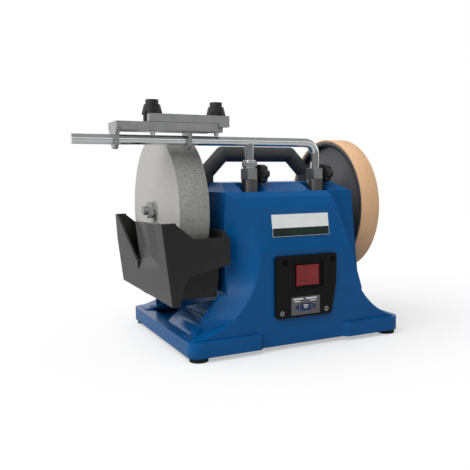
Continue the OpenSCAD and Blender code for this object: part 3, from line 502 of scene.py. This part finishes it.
# Steel sheet, pressed and galvanised: large pale spangles
PRESSED_STEEL = Finish(
    "galvanised_pressed_sheet",
    "#9a9c9e",
    "#a9abad",
    0.4,
    metallic=1.0,
    cloud_mm=7.0,
    gloss_change=0.08,
)
# Bronze, sintered and oiled: open pores
SINTERED_BRONZE = Finish(
    "sintered_oiled_bronze",
    "#8f6330",
    "#a0723b",
    0.45,
    metallic=1.0,
    grain_mm=0.5,
    grain_depth_mm=0.04,
)
# Copper wire, lacquered and wound in turns of about a millimetre
WOUND_COPPER = Finish(
    "lacquered_wound_copper",
    "#96502a",
    "#b0653a",
    0.35,
    metallic=1.0,
    grain_mm=1.0,
    grain_depth_mm=0.2,
)
# Rubber, pressed and vulcanised: dull black with a bloom
BLACK_RUBBER = Finish(
    "vulcanised_black_rubber",
    "#171717",
    "#202020",
    0.75,
    specular=0.3,
    grain_mm=0.6,
    grain_depth_mm=0.05,
)
# Near-black disc down each upper screw hole: painted shade of the deep, dark hole
PAINTED_HOLE_SHADE = Finish("painted_hole_shade_disc", "#070707", "#0a0a0a", 0.8, specular=0.08, grain_mm=0.5)
# Polyamide, moulded: the wheel's grey body, satin with faint flow marks
WHEEL_GREY = Finish(
    "moulded_grey_polyamide",
    "#4c4c4f",
    "#555558",
    0.36,
    specular=0.45,
    cloud_mm=40.0,
    grain_depth_mm=0.02,
)
# Cowhide, vegetable tanned and skived: pale warm tan, matt
TAN_LEATHER = Leather(
    "vegetable_tanned_band",
    "#efc59c",
    "#deb289",
    0.62,
    specular=0.3,
    sheen=0.1,
    grain_mm=0.8,
    grain_depth_mm=0.08,
)
# ABS plate, moulded against a fine spark-eroded tool
PLATE_BLACK = Finish(
    "grained_black_abs_plate",
    "#0e0e0f",
    "#121213",
    0.32,
    specular=0.16,
    grain_mm=0.5,
    grain_depth_mm=0.02,
)
# Polycarbonate, moulded clear red over a red core: glossy and deep
ROCKER_RED = Finish(
    "clear_red_polycarbonate",
    "#7c1a1c",
    "#8a2023",
    0.2,
    specular=0.35,
    coat=0.2,
    grain_depth_mm=0.004,
)
# Polyester foil, printed grey
GREY_FOIL = Finish(
    "printed_grey_foil",
    "#626062",
    "#686768",
    0.45,
    specular=0.3,
    grain_depth_mm=0.005,
)
# Polyester foil, printed white: clean and a little glossy
WHITE_FOIL = Finish("printed_white_foil", "#f0f1f1", "#f4f5f5", 0.35, grain_depth_mm=0.005)
# The same foil, printed dark green
GREEN_FOIL = Finish(
    "printed_green_foil",
    "#14241f",
    "#182a24",
    0.35,
    specular=0.3,
    grain_depth_mm=0.005,
)
# The same foil, printed blue
BLUE_FOIL = Finish(
    "printed_blue_foil",
    "#24355c",
    "#2a3c66",
    0.35,
    specular=0.3,
    grain_depth_mm=0.005,
)
# Aluminium oxide, vitrified and dressed: pale dry grit, no gloss
STONE = Grindstone(
    "vitrified_grindstone",
    "#c9c8c5",
    "#b3b2af",
    0.9,
    specular=0.2,
    grain_mm=0.9,
    grain_depth_mm=0.12,
)

FINISH_OF_SLOT = {
    "housing_blue": BLUE_SHELL,
    "cover_steel": PRESSED_STEEL,
    "dark_steel": BLACKED_STEEL,
    "foot_rubber": BLACK_RUBBER,
    "handle_black": BLACK_NYLON,
    "foot_brown": BROWN_FOOT,
    "zinc_steel": NICKEL_COLLAR,
    "knob_black": BLACK_PHENOLIC,
    "chrome_bar": CHROMED_BAR,
    "cast_aluminium": DRAWN_ALUMINIUM,
    "shaft_steel": SHAFT_STEEL,
    "stone_grey": STONE,
    "bush_bronze": SINTERED_BRONZE,
    "copper_winding": WOUND_COPPER,
    "wheel_black": WHEEL_GREY,
    "drive_rubber": BLACK_RUBBER,
    "leather_tan": TAN_LEATHER,
    "plate_black": PLATE_BLACK,
    "screw_steel": ZINC_STEEL,
    "rocker_red": ROCKER_RED,
    "label_grey": GREY_FOIL,
    "plate_white": WHITE_FOIL,
    "strip_green": GREEN_FOIL,
    "trough_grey": TROUGH_GREY,
}


# ---------- Solids and pieces ----------

# Corners closer than this are one corner. Edges sharper than this angle are
# rounded, with this many flats
WELD_MM = 0.002
SHARP_DEG = 28
EDGE_STEPS = 2


def soften(solid: bpy.types.Object, width_mm: float) -> None:
    """Round the sharp edges of a solid with modifiers.

    Args:
        solid: The object to soften.
        width_mm: The edges' radius, roughly. Zero leaves the solid as it is.
    """
    if not width_mm:
        return
    weld = solid.modifiers.new("weld", "WELD")
    weld.merge_threshold = WELD_MM * MM
    bevel = solid.modifiers.new("edge", "BEVEL")
    bevel.width = width_mm * MM
    bevel.segments = EDGE_STEPS
    bevel.limit_method = "ANGLE"
    bevel.angle_limit = math.radians(SHARP_DEG)
    bevel.harden_normals = True


class Facing(Enum):
    """Which way a flat piece looks: its own right, up and outward directions."""

    FRONT = ((1, 0, 0), (0, 0, 1), (0, -1, 0))
    TOP = ((1, 0, 0), (0, 1, 0), (0, 0, 1))

    def matrix(self, place: Vector, lean_deg: float = 0.0) -> Matrix:
        """Map a piece's own millimetres on to the frame.

        Args:
            place: Where the piece's own origin goes, in metres.
            lean_deg: How far the piece leans back about its own right.

        Returns:
            The matrix that places the piece.
        """
        across, up, out = (Vector(v) for v in self.value)
        turn = Matrix((across, up, out)).transposed().to_4x4()
        lean = Matrix.Rotation(-math.radians(lean_deg), 4, "X")
        return Matrix.Translation(place) @ turn @ lean @ Matrix.Scale(MM, 4)


Outline = list[tuple[float, float]]

# How far a small piece is let into the solid that carries it
BURIED_MM = 0.3


def rectangle(width: float, height: float, middle: tuple[float, float] = (0.0, 0.0)) -> Outline:
    """Outline of a rectangle.

    Args:
        width: Its width.
        height: Its height.
        middle: Where its middle lies.

    Returns:
        Its four corners, anticlockwise.
    """
    x, y = middle
    w, h = width / 2, height / 2
    return [(x - w, y - h), (x + w, y - h), (x + w, y + h), (x - w, y + h)]


def ring(radius: float, sides: int, start_deg: float = 0.0) -> Outline:
    """Outline of a regular polygon.

    Args:
        radius: From the middle to a corner.
        sides: How many corners.
        start_deg: Where the first corner lies.

    Returns:
        The corners, anticlockwise.
    """
    turns = [math.radians(start_deg) + math.tau * i / sides for i in range(sides)]
    return [(radius * math.cos(a), radius * math.sin(a)) for a in turns]


@dataclass
class Piece:
    """A small solid: flat outlines with a thickness, joined in one mesh."""

    name: str
    finish: Finish
    slot: str
    body: Body
    edge_mm: float = 0.2

    def build(self, parts: list[tuple[Outline, float, float]], at: Matrix) -> bpy.types.Object:
        """Make the piece from outlines.

        Args:
            parts: Each an outline with its lowest and highest level, in mm.
            at: Maps the outlines on to the frame.

        Returns:
            The finished object, riding on its body.
        """
        shape = bmesh.new()
        for outline, low, high in parts:
            bottom = [shape.verts.new((x, y, low)) for x, y in outline]
            top = [shape.verts.new((x, y, high)) for x, y in outline]
            shape.faces.new(reversed(bottom))
            shape.faces.new(top)
            count = len(outline)
            for i in range(count):
                j = (i + 1) % count
                shape.faces.new((bottom[i], bottom[j], top[j], top[i]))
        return self.finish_mesh(shape, at)

    def frame(
        self, outer: Outline, inner: Outline, low: float, high: float, at: Matrix
    ) -> bpy.types.Object:
        """Make the piece as a frame between two outlines of as many corners.

        Args:
            outer: The outer outline.
            inner: The inner outline.
            low: Lowest level, in mm.
            high: Highest level, in mm.
            at: Maps the outlines on to the frame.

        Returns:
            The finished object, riding on its body.
        """
        shape = bmesh.new()
        loops = [
            [shape.verts.new((x, y, z)) for x, y in outline]
            for outline, z in ((outer, low), (outer, high), (inner, high), (inner, low))
        ]
        count = len(outer)
        for k in range(4):
            first, second = loops[k], loops[(k + 1) % 4]
            for i in range(count):
                j = (i + 1) % count
                shape.faces.new((first[i], first[j], second[j], second[i]))
        return self.finish_mesh(shape, at)

    def finish_mesh(self, shape: bmesh.types.BMesh, at: Matrix) -> bpy.types.Object:
        """Turn the mesh into an object that rides on its body.

        Args:
            shape: The mesh in its own millimetres.
            at: Maps it on to the frame.

        Returns:
            The object.
        """
        bmesh.ops.transform(shape, matrix=at, verts=shape.verts)
        bmesh.ops.recalc_face_normals(shape, faces=shape.faces)
        mesh = bpy.data.meshes.new(self.name)
        shape.to_mesh(mesh)
        shape.free()
        made = bpy.data.objects.new(self.name, mesh)
        bpy.context.scene.collection.objects.link(made)
        mesh.materials.append(self.finish.material())
        soften(made, self.edge_mm)
        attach(made, self.body.value)
        log.info("built %s in %s", self.name, self.finish.name)
        return made


def box_of(node: str) -> tuple[Vector, Vector]:
    """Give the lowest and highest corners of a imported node's box.

    Args:
        node: The node's name.

    Returns:
        The two corners, in metres.
    """
    low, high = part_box(node)
    return Vector(low), Vector(high)


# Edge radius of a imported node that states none
PLAIN_EDGE_MM = 0.3


@dataclass
class DressedSolids:
    """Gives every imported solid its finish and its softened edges."""

    frame: dict[str, Any]

    def dress(self, edges_mm: dict[str, float]) -> None:
        """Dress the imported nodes.

        Args:
            edges_mm: Edge radius by node; other nodes get a small one.
        """
        slots = {s["node"]: s["material_slot"] for s in self.frame["record"]["subparts"]}
        for name, solid in self.frame["nodes"].items():
            finish = FINISH_OF_SLOT[slots[name]]
            solid.data.materials.clear()
            solid.data.materials.append(finish.material())
            soften(solid, edges_mm.get(name, PLAIN_EDGE_MM))
            log.info("dressed %s in %s", name, finish.name)


# Edge radius by node, where it isn't the plain one
EDGES_MM = {
    "housing": 1.6,
    "water_trough": 0.7,
    "grinding_stone": 0.5,
    "leather_band": 0.8,
    "honing_wheel": 0.6,
    "handle_feet": 0.8,
    "jig_base": 0.8,
    "jig_clamp_bar": 0.8,
    "support_bar": 0.0,
    "handle": 0.0,
    "support_leg": 0.0,
    "main_shaft": 0.6,
    "switch_plate": 0.6,
    "clamp_collar_left": 0.8,
    "clamp_collar_right": 0.8,
    "lock_knob_left": 0.8,
    "lock_knob_right": 0.8,
    "jig_knob_left": 0.8,
    "jig_knob_right": 0.8,
    "switch_rocker": 0.5,
    "rubber_feet": 0.6,
}


# White lines on the switch's label: width, height, middle, and how far they are
# raised over the blue field
LABEL_LINES = (
    (15, 1.8, (-11.5, 9.2), 0.0),
    (16, 1.8, (8.5, 9.2), 0.0),
    (9, 1.1, (-13, 6.0), 0.0),
    (10, 1.1, (11, 6.0), 0.0),
    (7, 1.3, (0, 0.2), 0.03),
    (5, 1.3, (0, -2.6), 0.03),
)
# Blue shapes under them: two arrowheads and the field between
LABEL_FIELDS = (
    [(-17, -2), (-10.5, -6.5), (-10.5, 2.5)],
    [(17, -2), (10.5, 2.5), (10.5, -6.5)],
    rectangle(17, 10.5, (0, -2)),
)


@dataclass
class SwitchPanel:
    """Small pieces on the switch plate: bezel, ribs, painted shade in and on the screws, and the
    label's print.
    """

    bezel_w: float = 3.2
    bezel_room: tuple[float, float] = (10.0, 9.0)
    bezel_shift: float = 1.0
    bezel_proud: float = 0.7
    rib_w: float = 1.2
    rib_drop: float = 5.0
    rib_proud: float = 0.6
    rocker_room: float = 5.5
    label_room: float = 1.0
    cross_w: float = 4.2
    cross_t: float = 1.0
    cross_proud: tuple[float, float] = (0.04, 0.05)
    shade_disc_r: float = 4.0
    shade_disc_depth: float = 0.35
    shade_disc_proud: float = 0.12
    shade_disc_sides: int = 32
    bezel_depth: float = 0.4
    screw_reach: float = 12.0
    print_t: float = 0.06
    edge_mm: float = 0.3

    def build(self) -> None:
        """Make all the pieces of the panel."""
        self.bezel()
        self.channel()
        self.screws()
        self.label()

    def bezel(self) -> None:
        """Stand a thin raised lip round the rocker's recess."""
        low, high = box_of("switch_rocker")
        front = box_of("switch_plate")[0].y
        middle = (low + high) / 2
        at = Facing.FRONT.matrix(Vector((middle.x + self.bezel_shift * MM, front, middle.z)))
        width = (high.x - low.x) / MM + self.bezel_room[0]
        height = (high.z - low.z) / MM + self.bezel_room[1]
        Piece("rocker_bezel", PLATE_BLACK, "plate_black", Body.MACHINE, self.edge_mm).frame(
            rectangle(width + self.bezel_w, height + self.bezel_w),
            rectangle(width, height),
            -self.bezel_depth,
            self.bezel_proud,
            at,
        )

    def channel(self) -> None:
        """Run two thin ribs from the bezel down to the label, as the plate's inner step."""
        low, high = box_of("switch_rocker")
        label_low, label_high = box_of("switch_label")
        front = box_of("switch_plate")[0].y
        at = Facing.FRONT.matrix(Vector(((low.x + high.x) / 2, front, low.z)))
        head_z = -self.rib_drop
        foot_z = (label_high.z - low.z) / MM
        half = self.rib_w / 2
        ribs = []
        for side in (-1, 1):
            head = side * ((high.x - low.x) / MM / 2 + self.rocker_room)
            foot = side * ((label_high.x - label_low.x) / MM / 2 + self.label_room)
            edge = [
                (head - half, head_z),
                (head + half, head_z),
                (foot + half, foot_z),
                (foot - half, foot_z),
            ]
            ribs.append((edge, -BURIED_MM, self.rib_proud))
        Piece("panel_ribs", PLATE_BLACK, "plate_black", Body.MACHINE, self.edge_mm).build(ribs, at)

    def screws(self) -> None:
        """Lay near-black discs down the two upper screw holes and dark crosses on the lower
        screws, both painted shade of the holes and cross recesses.
        """
        low, high = box_of("switch_screws")
        front = box_of("switch_plate")[0].y
        spots = self.spots()
        shaded_holes = [spot for spot in spots if spot.z > (low.z + high.z) / 2]
        heads = [spot for spot in spots if spot not in shaded_holes]
        # Near-black discs: painted shade of the upper screw holes
        shade_disc = [(ring(self.shade_disc_r, self.shade_disc_sides), -self.shade_disc_depth, self.shade_disc_proud)]
        for i, spot in enumerate(shaded_holes):
            at = Facing.FRONT.matrix(Vector((spot.x, front, spot.z)))
            Piece(f"hole_shade_disc_{i}", PAINTED_HOLE_SHADE, "plate_black", Body.MACHINE, 0.0).build(shade_disc, at)
        # Crosses in the black rubber finish: painted shade of the screws' cross recesses
        cross = [
            (rectangle(self.cross_w, self.cross_t), -BURIED_MM, self.cross_proud[0]),
            (rectangle(self.cross_t, self.cross_w), -BURIED_MM, self.cross_proud[1]),
        ]
        for i, spot in enumerate(heads):
            at = Facing.FRONT.matrix(Vector((spot.x, low.y, spot.z)))
            name = f"screw_cross_shade_{i}"
            Piece(name, BLACK_RUBBER, "dark_steel", Body.MACHINE, 0.0).build(cross, at)

    def spots(self) -> list[Vector]:
        """Find the screws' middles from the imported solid.

        Returns:
            One place for each screw, in metres.
        """
        points = [vertex.co for vertex in bpy.data.objects["switch_screws"].data.vertices]
        firsts: list[Vector] = []
        for point in points:
            if not any(self.same_screw(point, first) for first in firsts):
                firsts.append(point.copy())
        middles = []
        for first in firsts:
            close = [point for point in points if self.same_screw(point, first)]
            xs, zs = [c.x for c in close], [c.z for c in close]
            middles.append(Vector(((min(xs) + max(xs)) / 2, 0.0, (min(zs) + max(zs)) / 2)))
        return middles

    def same_screw(self, point: Vector, other: Vector) -> bool:
        """Tell whether two points lie on one screw.

        Args:
            point: The first point, in metres.
            other: The second point, in metres.

        Returns:
            Whether they are close, seen from the front.
        """
        return math.hypot(point.x - other.x, point.z - other.z) < self.screw_reach * MM

    def label(self) -> None:
        """Print plain lines, two arrows and a field on the grey label."""
        low, high = box_of("switch_label")
        at = Facing.FRONT.matrix(Vector(((low.x + high.x) / 2, low.y, (low.z + high.z) / 2)))
        lines = [
            (rectangle(width, height, middle), 0, self.print_t + raised)
            for width, height, middle, raised in LABEL_LINES
        ]
        Piece("label_lines", WHITE_FOIL, "plate_white", Body.MACHINE, 0.0).build(lines, at)
        fields = [(outline, 0, self.print_t) for outline in LABEL_FIELDS]
        Piece("label_arrows", BLUE_FOIL, "label_grey", Body.MACHINE, 0.0).build(fields, at)


@dataclass
class NamePlate:
    """A thin raised border round the bare name plate and its strip."""

    border: float = 0.6
    proud: float = 0.08
    lean_deg: float = 8.427

    def build(self) -> None:
        """Frame the plate and the strip."""
        low = box_of("name_strip")[0]
        high = box_of("name_plate")[1]
        width = (high.x - low.x) / MM
        height = (high.z - low.z) / MM / math.cos(math.radians(self.lean_deg))
        at = Facing.FRONT.matrix(Vector(((low.x + high.x) / 2, low.y, low.z)), self.lean_deg)
        Piece("name_plate_border", WHITE_FOIL, "plate_white", Body.MACHINE, 0.0).frame(
            rectangle(width, height, (0, height / 2)),
            rectangle(width - self.border, height - self.border, (0, height / 2)),
            -BURIED_MM,
            self.proud,
            at,
        )


@dataclass
class JigKnobCaps:
    """Dark inserts pressed into the tops of the jig's knobs."""

    radius: float = 4.2
    sides: int = 40
    proud: float = 0.12
    edge_mm: float = 0.2

    def build(self) -> None:
        """Press an insert into each knob."""
        for node, body in (("jig_knob_left", Body.KNOB_LEFT), ("jig_knob_right", Body.KNOB_RIGHT)):
            low, high = box_of(node)
            top = Vector(((low.x + high.x) / 2, (low.y + high.y) / 2, high.z))
            at = Facing.TOP.matrix(top)
            insert = Piece(f"{node}_insert", BLACK_NYLON, "knob_black", body, self.edge_mm)
            insert.build([(ring(self.radius, self.sides), -BURIED_MM, self.proud)], at)


@dataclass
class HoningSeam:
    """Skived joint of the leather band, on the side away from the operator."""

    angle_deg: float = 40.0
    slant_deg: float = 18.0
    width: float = 0.9
    margin: float = 0.8
    depth: float = 0.5
    proud: float = 0.05

    def build(self) -> None:
        """Lay the slanting joint across the band."""
        low, high = box_of("leather_band")
        middle = (low + high) / 2
        radius = (high.z - low.z) / 2
        turn = math.radians(self.angle_deg)
        spot = middle + radius * Vector((0.0, math.sin(turn), math.cos(turn)))
        half = (high.x - low.x) / 2 / MM - self.margin
        at = (
            Matrix.Translation(spot)
            @ Matrix.Rotation(-turn, 4, "X")
            @ Matrix.Rotation(math.radians(self.slant_deg), 4, "Z")
            @ Matrix.Scale(MM, 4)
        )
        Piece("leather_joint", BROWN_FOOT, "leather_tan", Body.WHEELS, 0.0).build(
            [(rectangle(2 * half, self.width), -self.depth, self.proud)], at
        )


@dataclass
class HeightWheelGrip:
    """Fine upright ribs round the height wheel."""

    ribs: int = 36
    rib_r: float = 0.55
    inset: float = 0.1
    margin: float = 2.4

    def build(self) -> None:
        """Stand the ribs round the wheel's rim."""
        low, high = box_of("height_nut")
        middle = (low + high) / 2
        reach = (high.x - low.x) / 2 / MM - self.inset
        half = (high.z - low.z) / MM / 2 - self.margin
        parts = []
        for i in range(self.ribs):
            turn = math.tau * i / self.ribs
            x, y = reach * math.cos(turn), reach * math.sin(turn)
            rib = [(x + u, y + v) for u, v in ring(self.rib_r, 4, math.degrees(turn))]
            parts.append((rib, -half, half))
        Piece("height_wheel_knurl", NICKEL_COLLAR, "zinc_steel", Body.HEIGHT_WHEEL, 0.0).build(
            parts, Facing.TOP.matrix(middle)
        )


# ---------- Studio ----------


@dataclass
class Studio:
    """Pale floor, soft light from above and the left, and the camera.

    Lengths and places are in metres, unless a name says mm. A grey is how
    brightly a card glows, where 1 is white.
    """

    key_strength: float = 3.2
    key_angle_deg: float = 80.0
    key_towards: tuple[float, float, float] = (0.54, 0.12, -0.83)
    fill_strength: float = 0.28
    floor_half: float = 6.0
    floor_colour: str = "#bcbcbc"
    floor_lift: float = 0.44
    canopy_grey: float = 0.34
    canopy_r: float = 4.0
    canopy_tilts_deg: tuple[float, ...] = (28, 45, 65, 89)
    canopy_steps: int = 48
    screen_grey: float = 0.2
    screen_r: float = 1.9
    screen_h: float = 0.5
    screen_start_deg: float = -200.0
    screen_step_deg: float = 6.2
    screen_steps: int = 30
    back_grey: float = 0.06
    back_turns_deg: tuple[float, ...] = (50, 60, 70, 80, 90, 98)
    back_reach: tuple[float, float] = (0.25, 2.5)
    back_middle_x: float = -0.1
    back_height: float = 0.002
    camera_place: tuple[float, float, float] = (-0.3507, -0.8062, 0.2294)
    camera_turns_deg: tuple[float, float, float] = (26.9, 4.9, -0.5)
    sensor_mm: float = 36.0
    lens_mm: float = 46.69
    lens_shift: tuple[float, float] = (-0.0487, -0.0174)
    nearest: float = 0.01

    def sheet(
        self, name: str, points: list[Vector], faces: list[tuple[int, ...]]
    ) -> bpy.types.Object:
        """Hang or lay one sheet of the studio.

        Args:
            name: The object's name.
            points: Its corners, in metres.
            faces: Corner numbers of each face.

        Returns:
            The object, marked as part of the stage.
        """
        mesh = bpy.data.meshes.new(name)
        mesh.from_pydata([tuple(p) for p in points], [], faces)
        made = bpy.data.objects.new(name, mesh)
        bpy.context.scene.collection.objects.link(made)
        return made

    def glow(self, name: str, strength: float) -> bpy.types.Material:
        """Make a plain glowing paper.

        Args:
            name: The material's name.
            strength: How brightly it glows, where 1 is white.

        Returns:
            The material.
        """
        made = bpy.data.materials.new(name)
        made.use_nodes = True
        tree = made.node_tree
        tree.nodes.remove(tree.nodes["Principled BSDF"])
        lamp = add_node(tree, "ShaderNodeEmission", {"Color": (1, 1, 1, 1), "Strength": strength})
        tree.links.new(lamp.outputs["Emission"], tree.nodes["Material Output"].inputs["Surface"])
        return made

    def floor(self) -> None:
        """Lay the pale floor, which stays white except where the object shades it."""
        span = 2 * self.floor_half
        edge = [Vector((x, y, 0)) for x, y in rectangle(span, span)]
        floor = self.sheet("studio_floor", edge, [(0, 1, 2, 3)])
        made = bpy.data.materials.new("studio_paper")
        made.use_nodes = True
        tree = made.node_tree
        paper = tree.nodes["Principled BSDF"]
        paper.inputs["Base Color"].default_value = linear(self.floor_colour)
        paper.inputs["Roughness"].default_value = 1.0
        paper.inputs["Specular IOR Level"].default_value = 0.0
        rays = add_node(tree, "ShaderNodeLightPath")
        lift = add_node(tree, "ShaderNodeMath", {"operation": "MULTIPLY"})
        lift.inputs[1].default_value = self.floor_lift
        tree.links.new(rays.outputs["Is Camera Ray"], lift.inputs[0])
        glow = add_node(
            tree, "ShaderNodeEmission", {"Color": (1, 1, 1, 1)}, {"Strength": (lift, "Value")}
        )
        both = tree.nodes.new("ShaderNodeAddShader")
        tree.links.new(paper.outputs["BSDF"], both.inputs[0])
        tree.links.new(glow.outputs["Emission"], both.inputs[1])
        tree.links.new(both.outputs["Shader"], tree.nodes["Material Output"].inputs["Surface"])
        floor.data.materials.append(made)

    def card(
        self, name: str, grey: float, points: list[Vector], faces: list[tuple[int, ...]]
    ) -> None:
        """Hang a grey card that only gloss sees.

        Args:
            name: The card's name.
            grey: How brightly it glows, where 1 is white.
            points: Its corners, in metres.
            faces: Corner numbers of each face.
        """
        card = self.sheet(name, points, faces)
        card.data.materials.append(self.glow(f"{name}_paper", grey))
        card.visible_camera = False
        card.visible_diffuse = False
        card.visible_shadow = False
        card.visible_transmission = False

    def canopy(self) -> None:
        """Hang a grey dome overhead, open below its lowest ring."""
        steps = self.canopy_steps
        points = []
        for height in self.canopy_tilts_deg:
            tilt = math.radians(height)
            across, up = self.canopy_r * math.cos(tilt), self.canopy_r * math.sin(tilt)
            turns = [math.tau * i / steps for i in range(steps)]
            points += [Vector((across * math.cos(a), across * math.sin(a), up)) for a in turns]
        faces = []
        for row in range(len(self.canopy_tilts_deg) - 1):
            low, high = row * steps, (row + 1) * steps
            for i in range(steps):
                j = (i + 1) % steps
                faces.append((low + i, low + j, high + j, high + i))
        self.card("studio_canopy", self.canopy_grey, points, faces)

    def screen(self) -> None:
        """Stand a low grey screen in an arc round the front and the left."""
        points = []
        for i in range(self.screen_steps + 1):
            turn = math.radians(self.screen_start_deg + i * self.screen_step_deg)
            x, y = self.screen_r * math.cos(turn), self.screen_r * math.sin(turn)
            points += [Vector((x, y, 0)), Vector((x, y, self.screen_h))]
        faces = [(2 * i, 2 * i + 2, 2 * i + 3, 2 * i + 1) for i in range(self.screen_steps)]
        self.card("studio_screen", self.screen_grey, points, faces)

    def back_card(self) -> None:
        """Lay a dark fan on the floor behind the object."""
        points = []
        for degrees in self.back_turns_deg:
            turn = math.radians(degrees)
            points += [
                Vector(
                    (r * math.cos(turn) + self.back_middle_x, r * math.sin(turn), self.back_height)
                )
                for r in self.back_reach
            ]
        count = len(self.back_turns_deg) - 1
        faces = [(2 * i, 2 * i + 1, 2 * i + 3, 2 * i + 2) for i in range(count)]
        self.card("studio_back_card", self.back_grey, points, faces)

    def world(self) -> None:
        """Light from all round, white where the camera or a gloss sees it."""
        scene = bpy.context.scene
        world = scene.world or bpy.data.worlds.new("studio")
        scene.world = world
        world.use_nodes = True
        tree = world.node_tree
        sky = tree.nodes["Background"]
        sky.inputs["Color"].default_value = (1, 1, 1, 1)
        rays = add_node(tree, "ShaderNodeLightPath")
        seen = add_node(tree, "ShaderNodeMath", {"operation": "MAXIMUM"})
        tree.links.new(rays.outputs["Is Camera Ray"], seen.inputs[0])
        tree.links.new(rays.outputs["Is Glossy Ray"], seen.inputs[1])
        also = add_node(tree, "ShaderNodeMath", {"operation": "MAXIMUM"})
        tree.links.new(seen.outputs["Value"], also.inputs[0])
        tree.links.new(rays.outputs["Is Transmission Ray"], also.inputs[1])
        level = add_node(
            tree,
            "ShaderNodeMapRange",
            {"To Min": self.fill_strength, "To Max": 1.0},
            {"Value": (also, "Value")},
        )
        tree.links.new(level.outputs["Result"], sky.inputs["Strength"])

    def lamps(self) -> None:
        """Hang the broad key light overhead, a little to the left."""
        sun = bpy.data.lights.new("key", "SUN")
        sun.energy = self.key_strength
        sun.angle = math.radians(self.key_angle_deg)
        lamp = bpy.data.objects.new("key", sun)
        bpy.context.scene.collection.objects.link(lamp)
        towards = Vector(self.key_towards)
        lamp.rotation_euler = towards.to_track_quat("-Z", "Y").to_euler()

    def camera(self) -> None:
        """Stand the camera at the front left, a little above the object's middle."""
        lens = bpy.data.cameras.new("camera")
        lens.sensor_width = self.sensor_mm
        lens.lens = self.lens_mm
        lens.shift_x, lens.shift_y = self.lens_shift
        lens.clip_start = self.nearest
        camera = bpy.data.objects.new("camera", lens)
        bpy.context.scene.collection.objects.link(camera)
        azimuth, tilt, roll = (math.radians(a) for a in self.camera_turns_deg)
        level = math.cos(tilt)
        ahead = Vector((math.sin(azimuth) * level, math.cos(azimuth) * level, -math.sin(tilt)))
        turn = ahead.to_track_quat("-Z", "Y") @ Matrix.Rotation(roll, 3, "Z").to_quaternion()
        place = Matrix.Translation(self.camera_place)
        camera.matrix_world = place @ turn.to_matrix().to_4x4()
        bpy.context.scene.camera = camera

    def build(self) -> None:
        """Set the stage: floor, cards, light, camera and plain view."""
        self.floor()
        self.canopy()
        self.screen()
        self.back_card()
        self.world()
        self.lamps()
        self.camera()
        bpy.context.scene.view_settings.view_transform = "Standard"
        log.info("studio ready")


def main() -> None:
    """Load the frame, dress it, build the small pieces and set the stage."""
    logging.basicConfig(level=logging.INFO, format="%(message)s")
    for old in list(bpy.data.objects):
        bpy.data.objects.remove(old)
    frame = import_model()
    DressedSolids(frame).dress(EDGES_MM)
    for assembly in (SwitchPanel(), NamePlate(), JigKnobCaps(), HoningSeam(), HeightWheelGrip()):
        assembly.build()
    Studio().build()


if __name__ == "__main__":
    main()
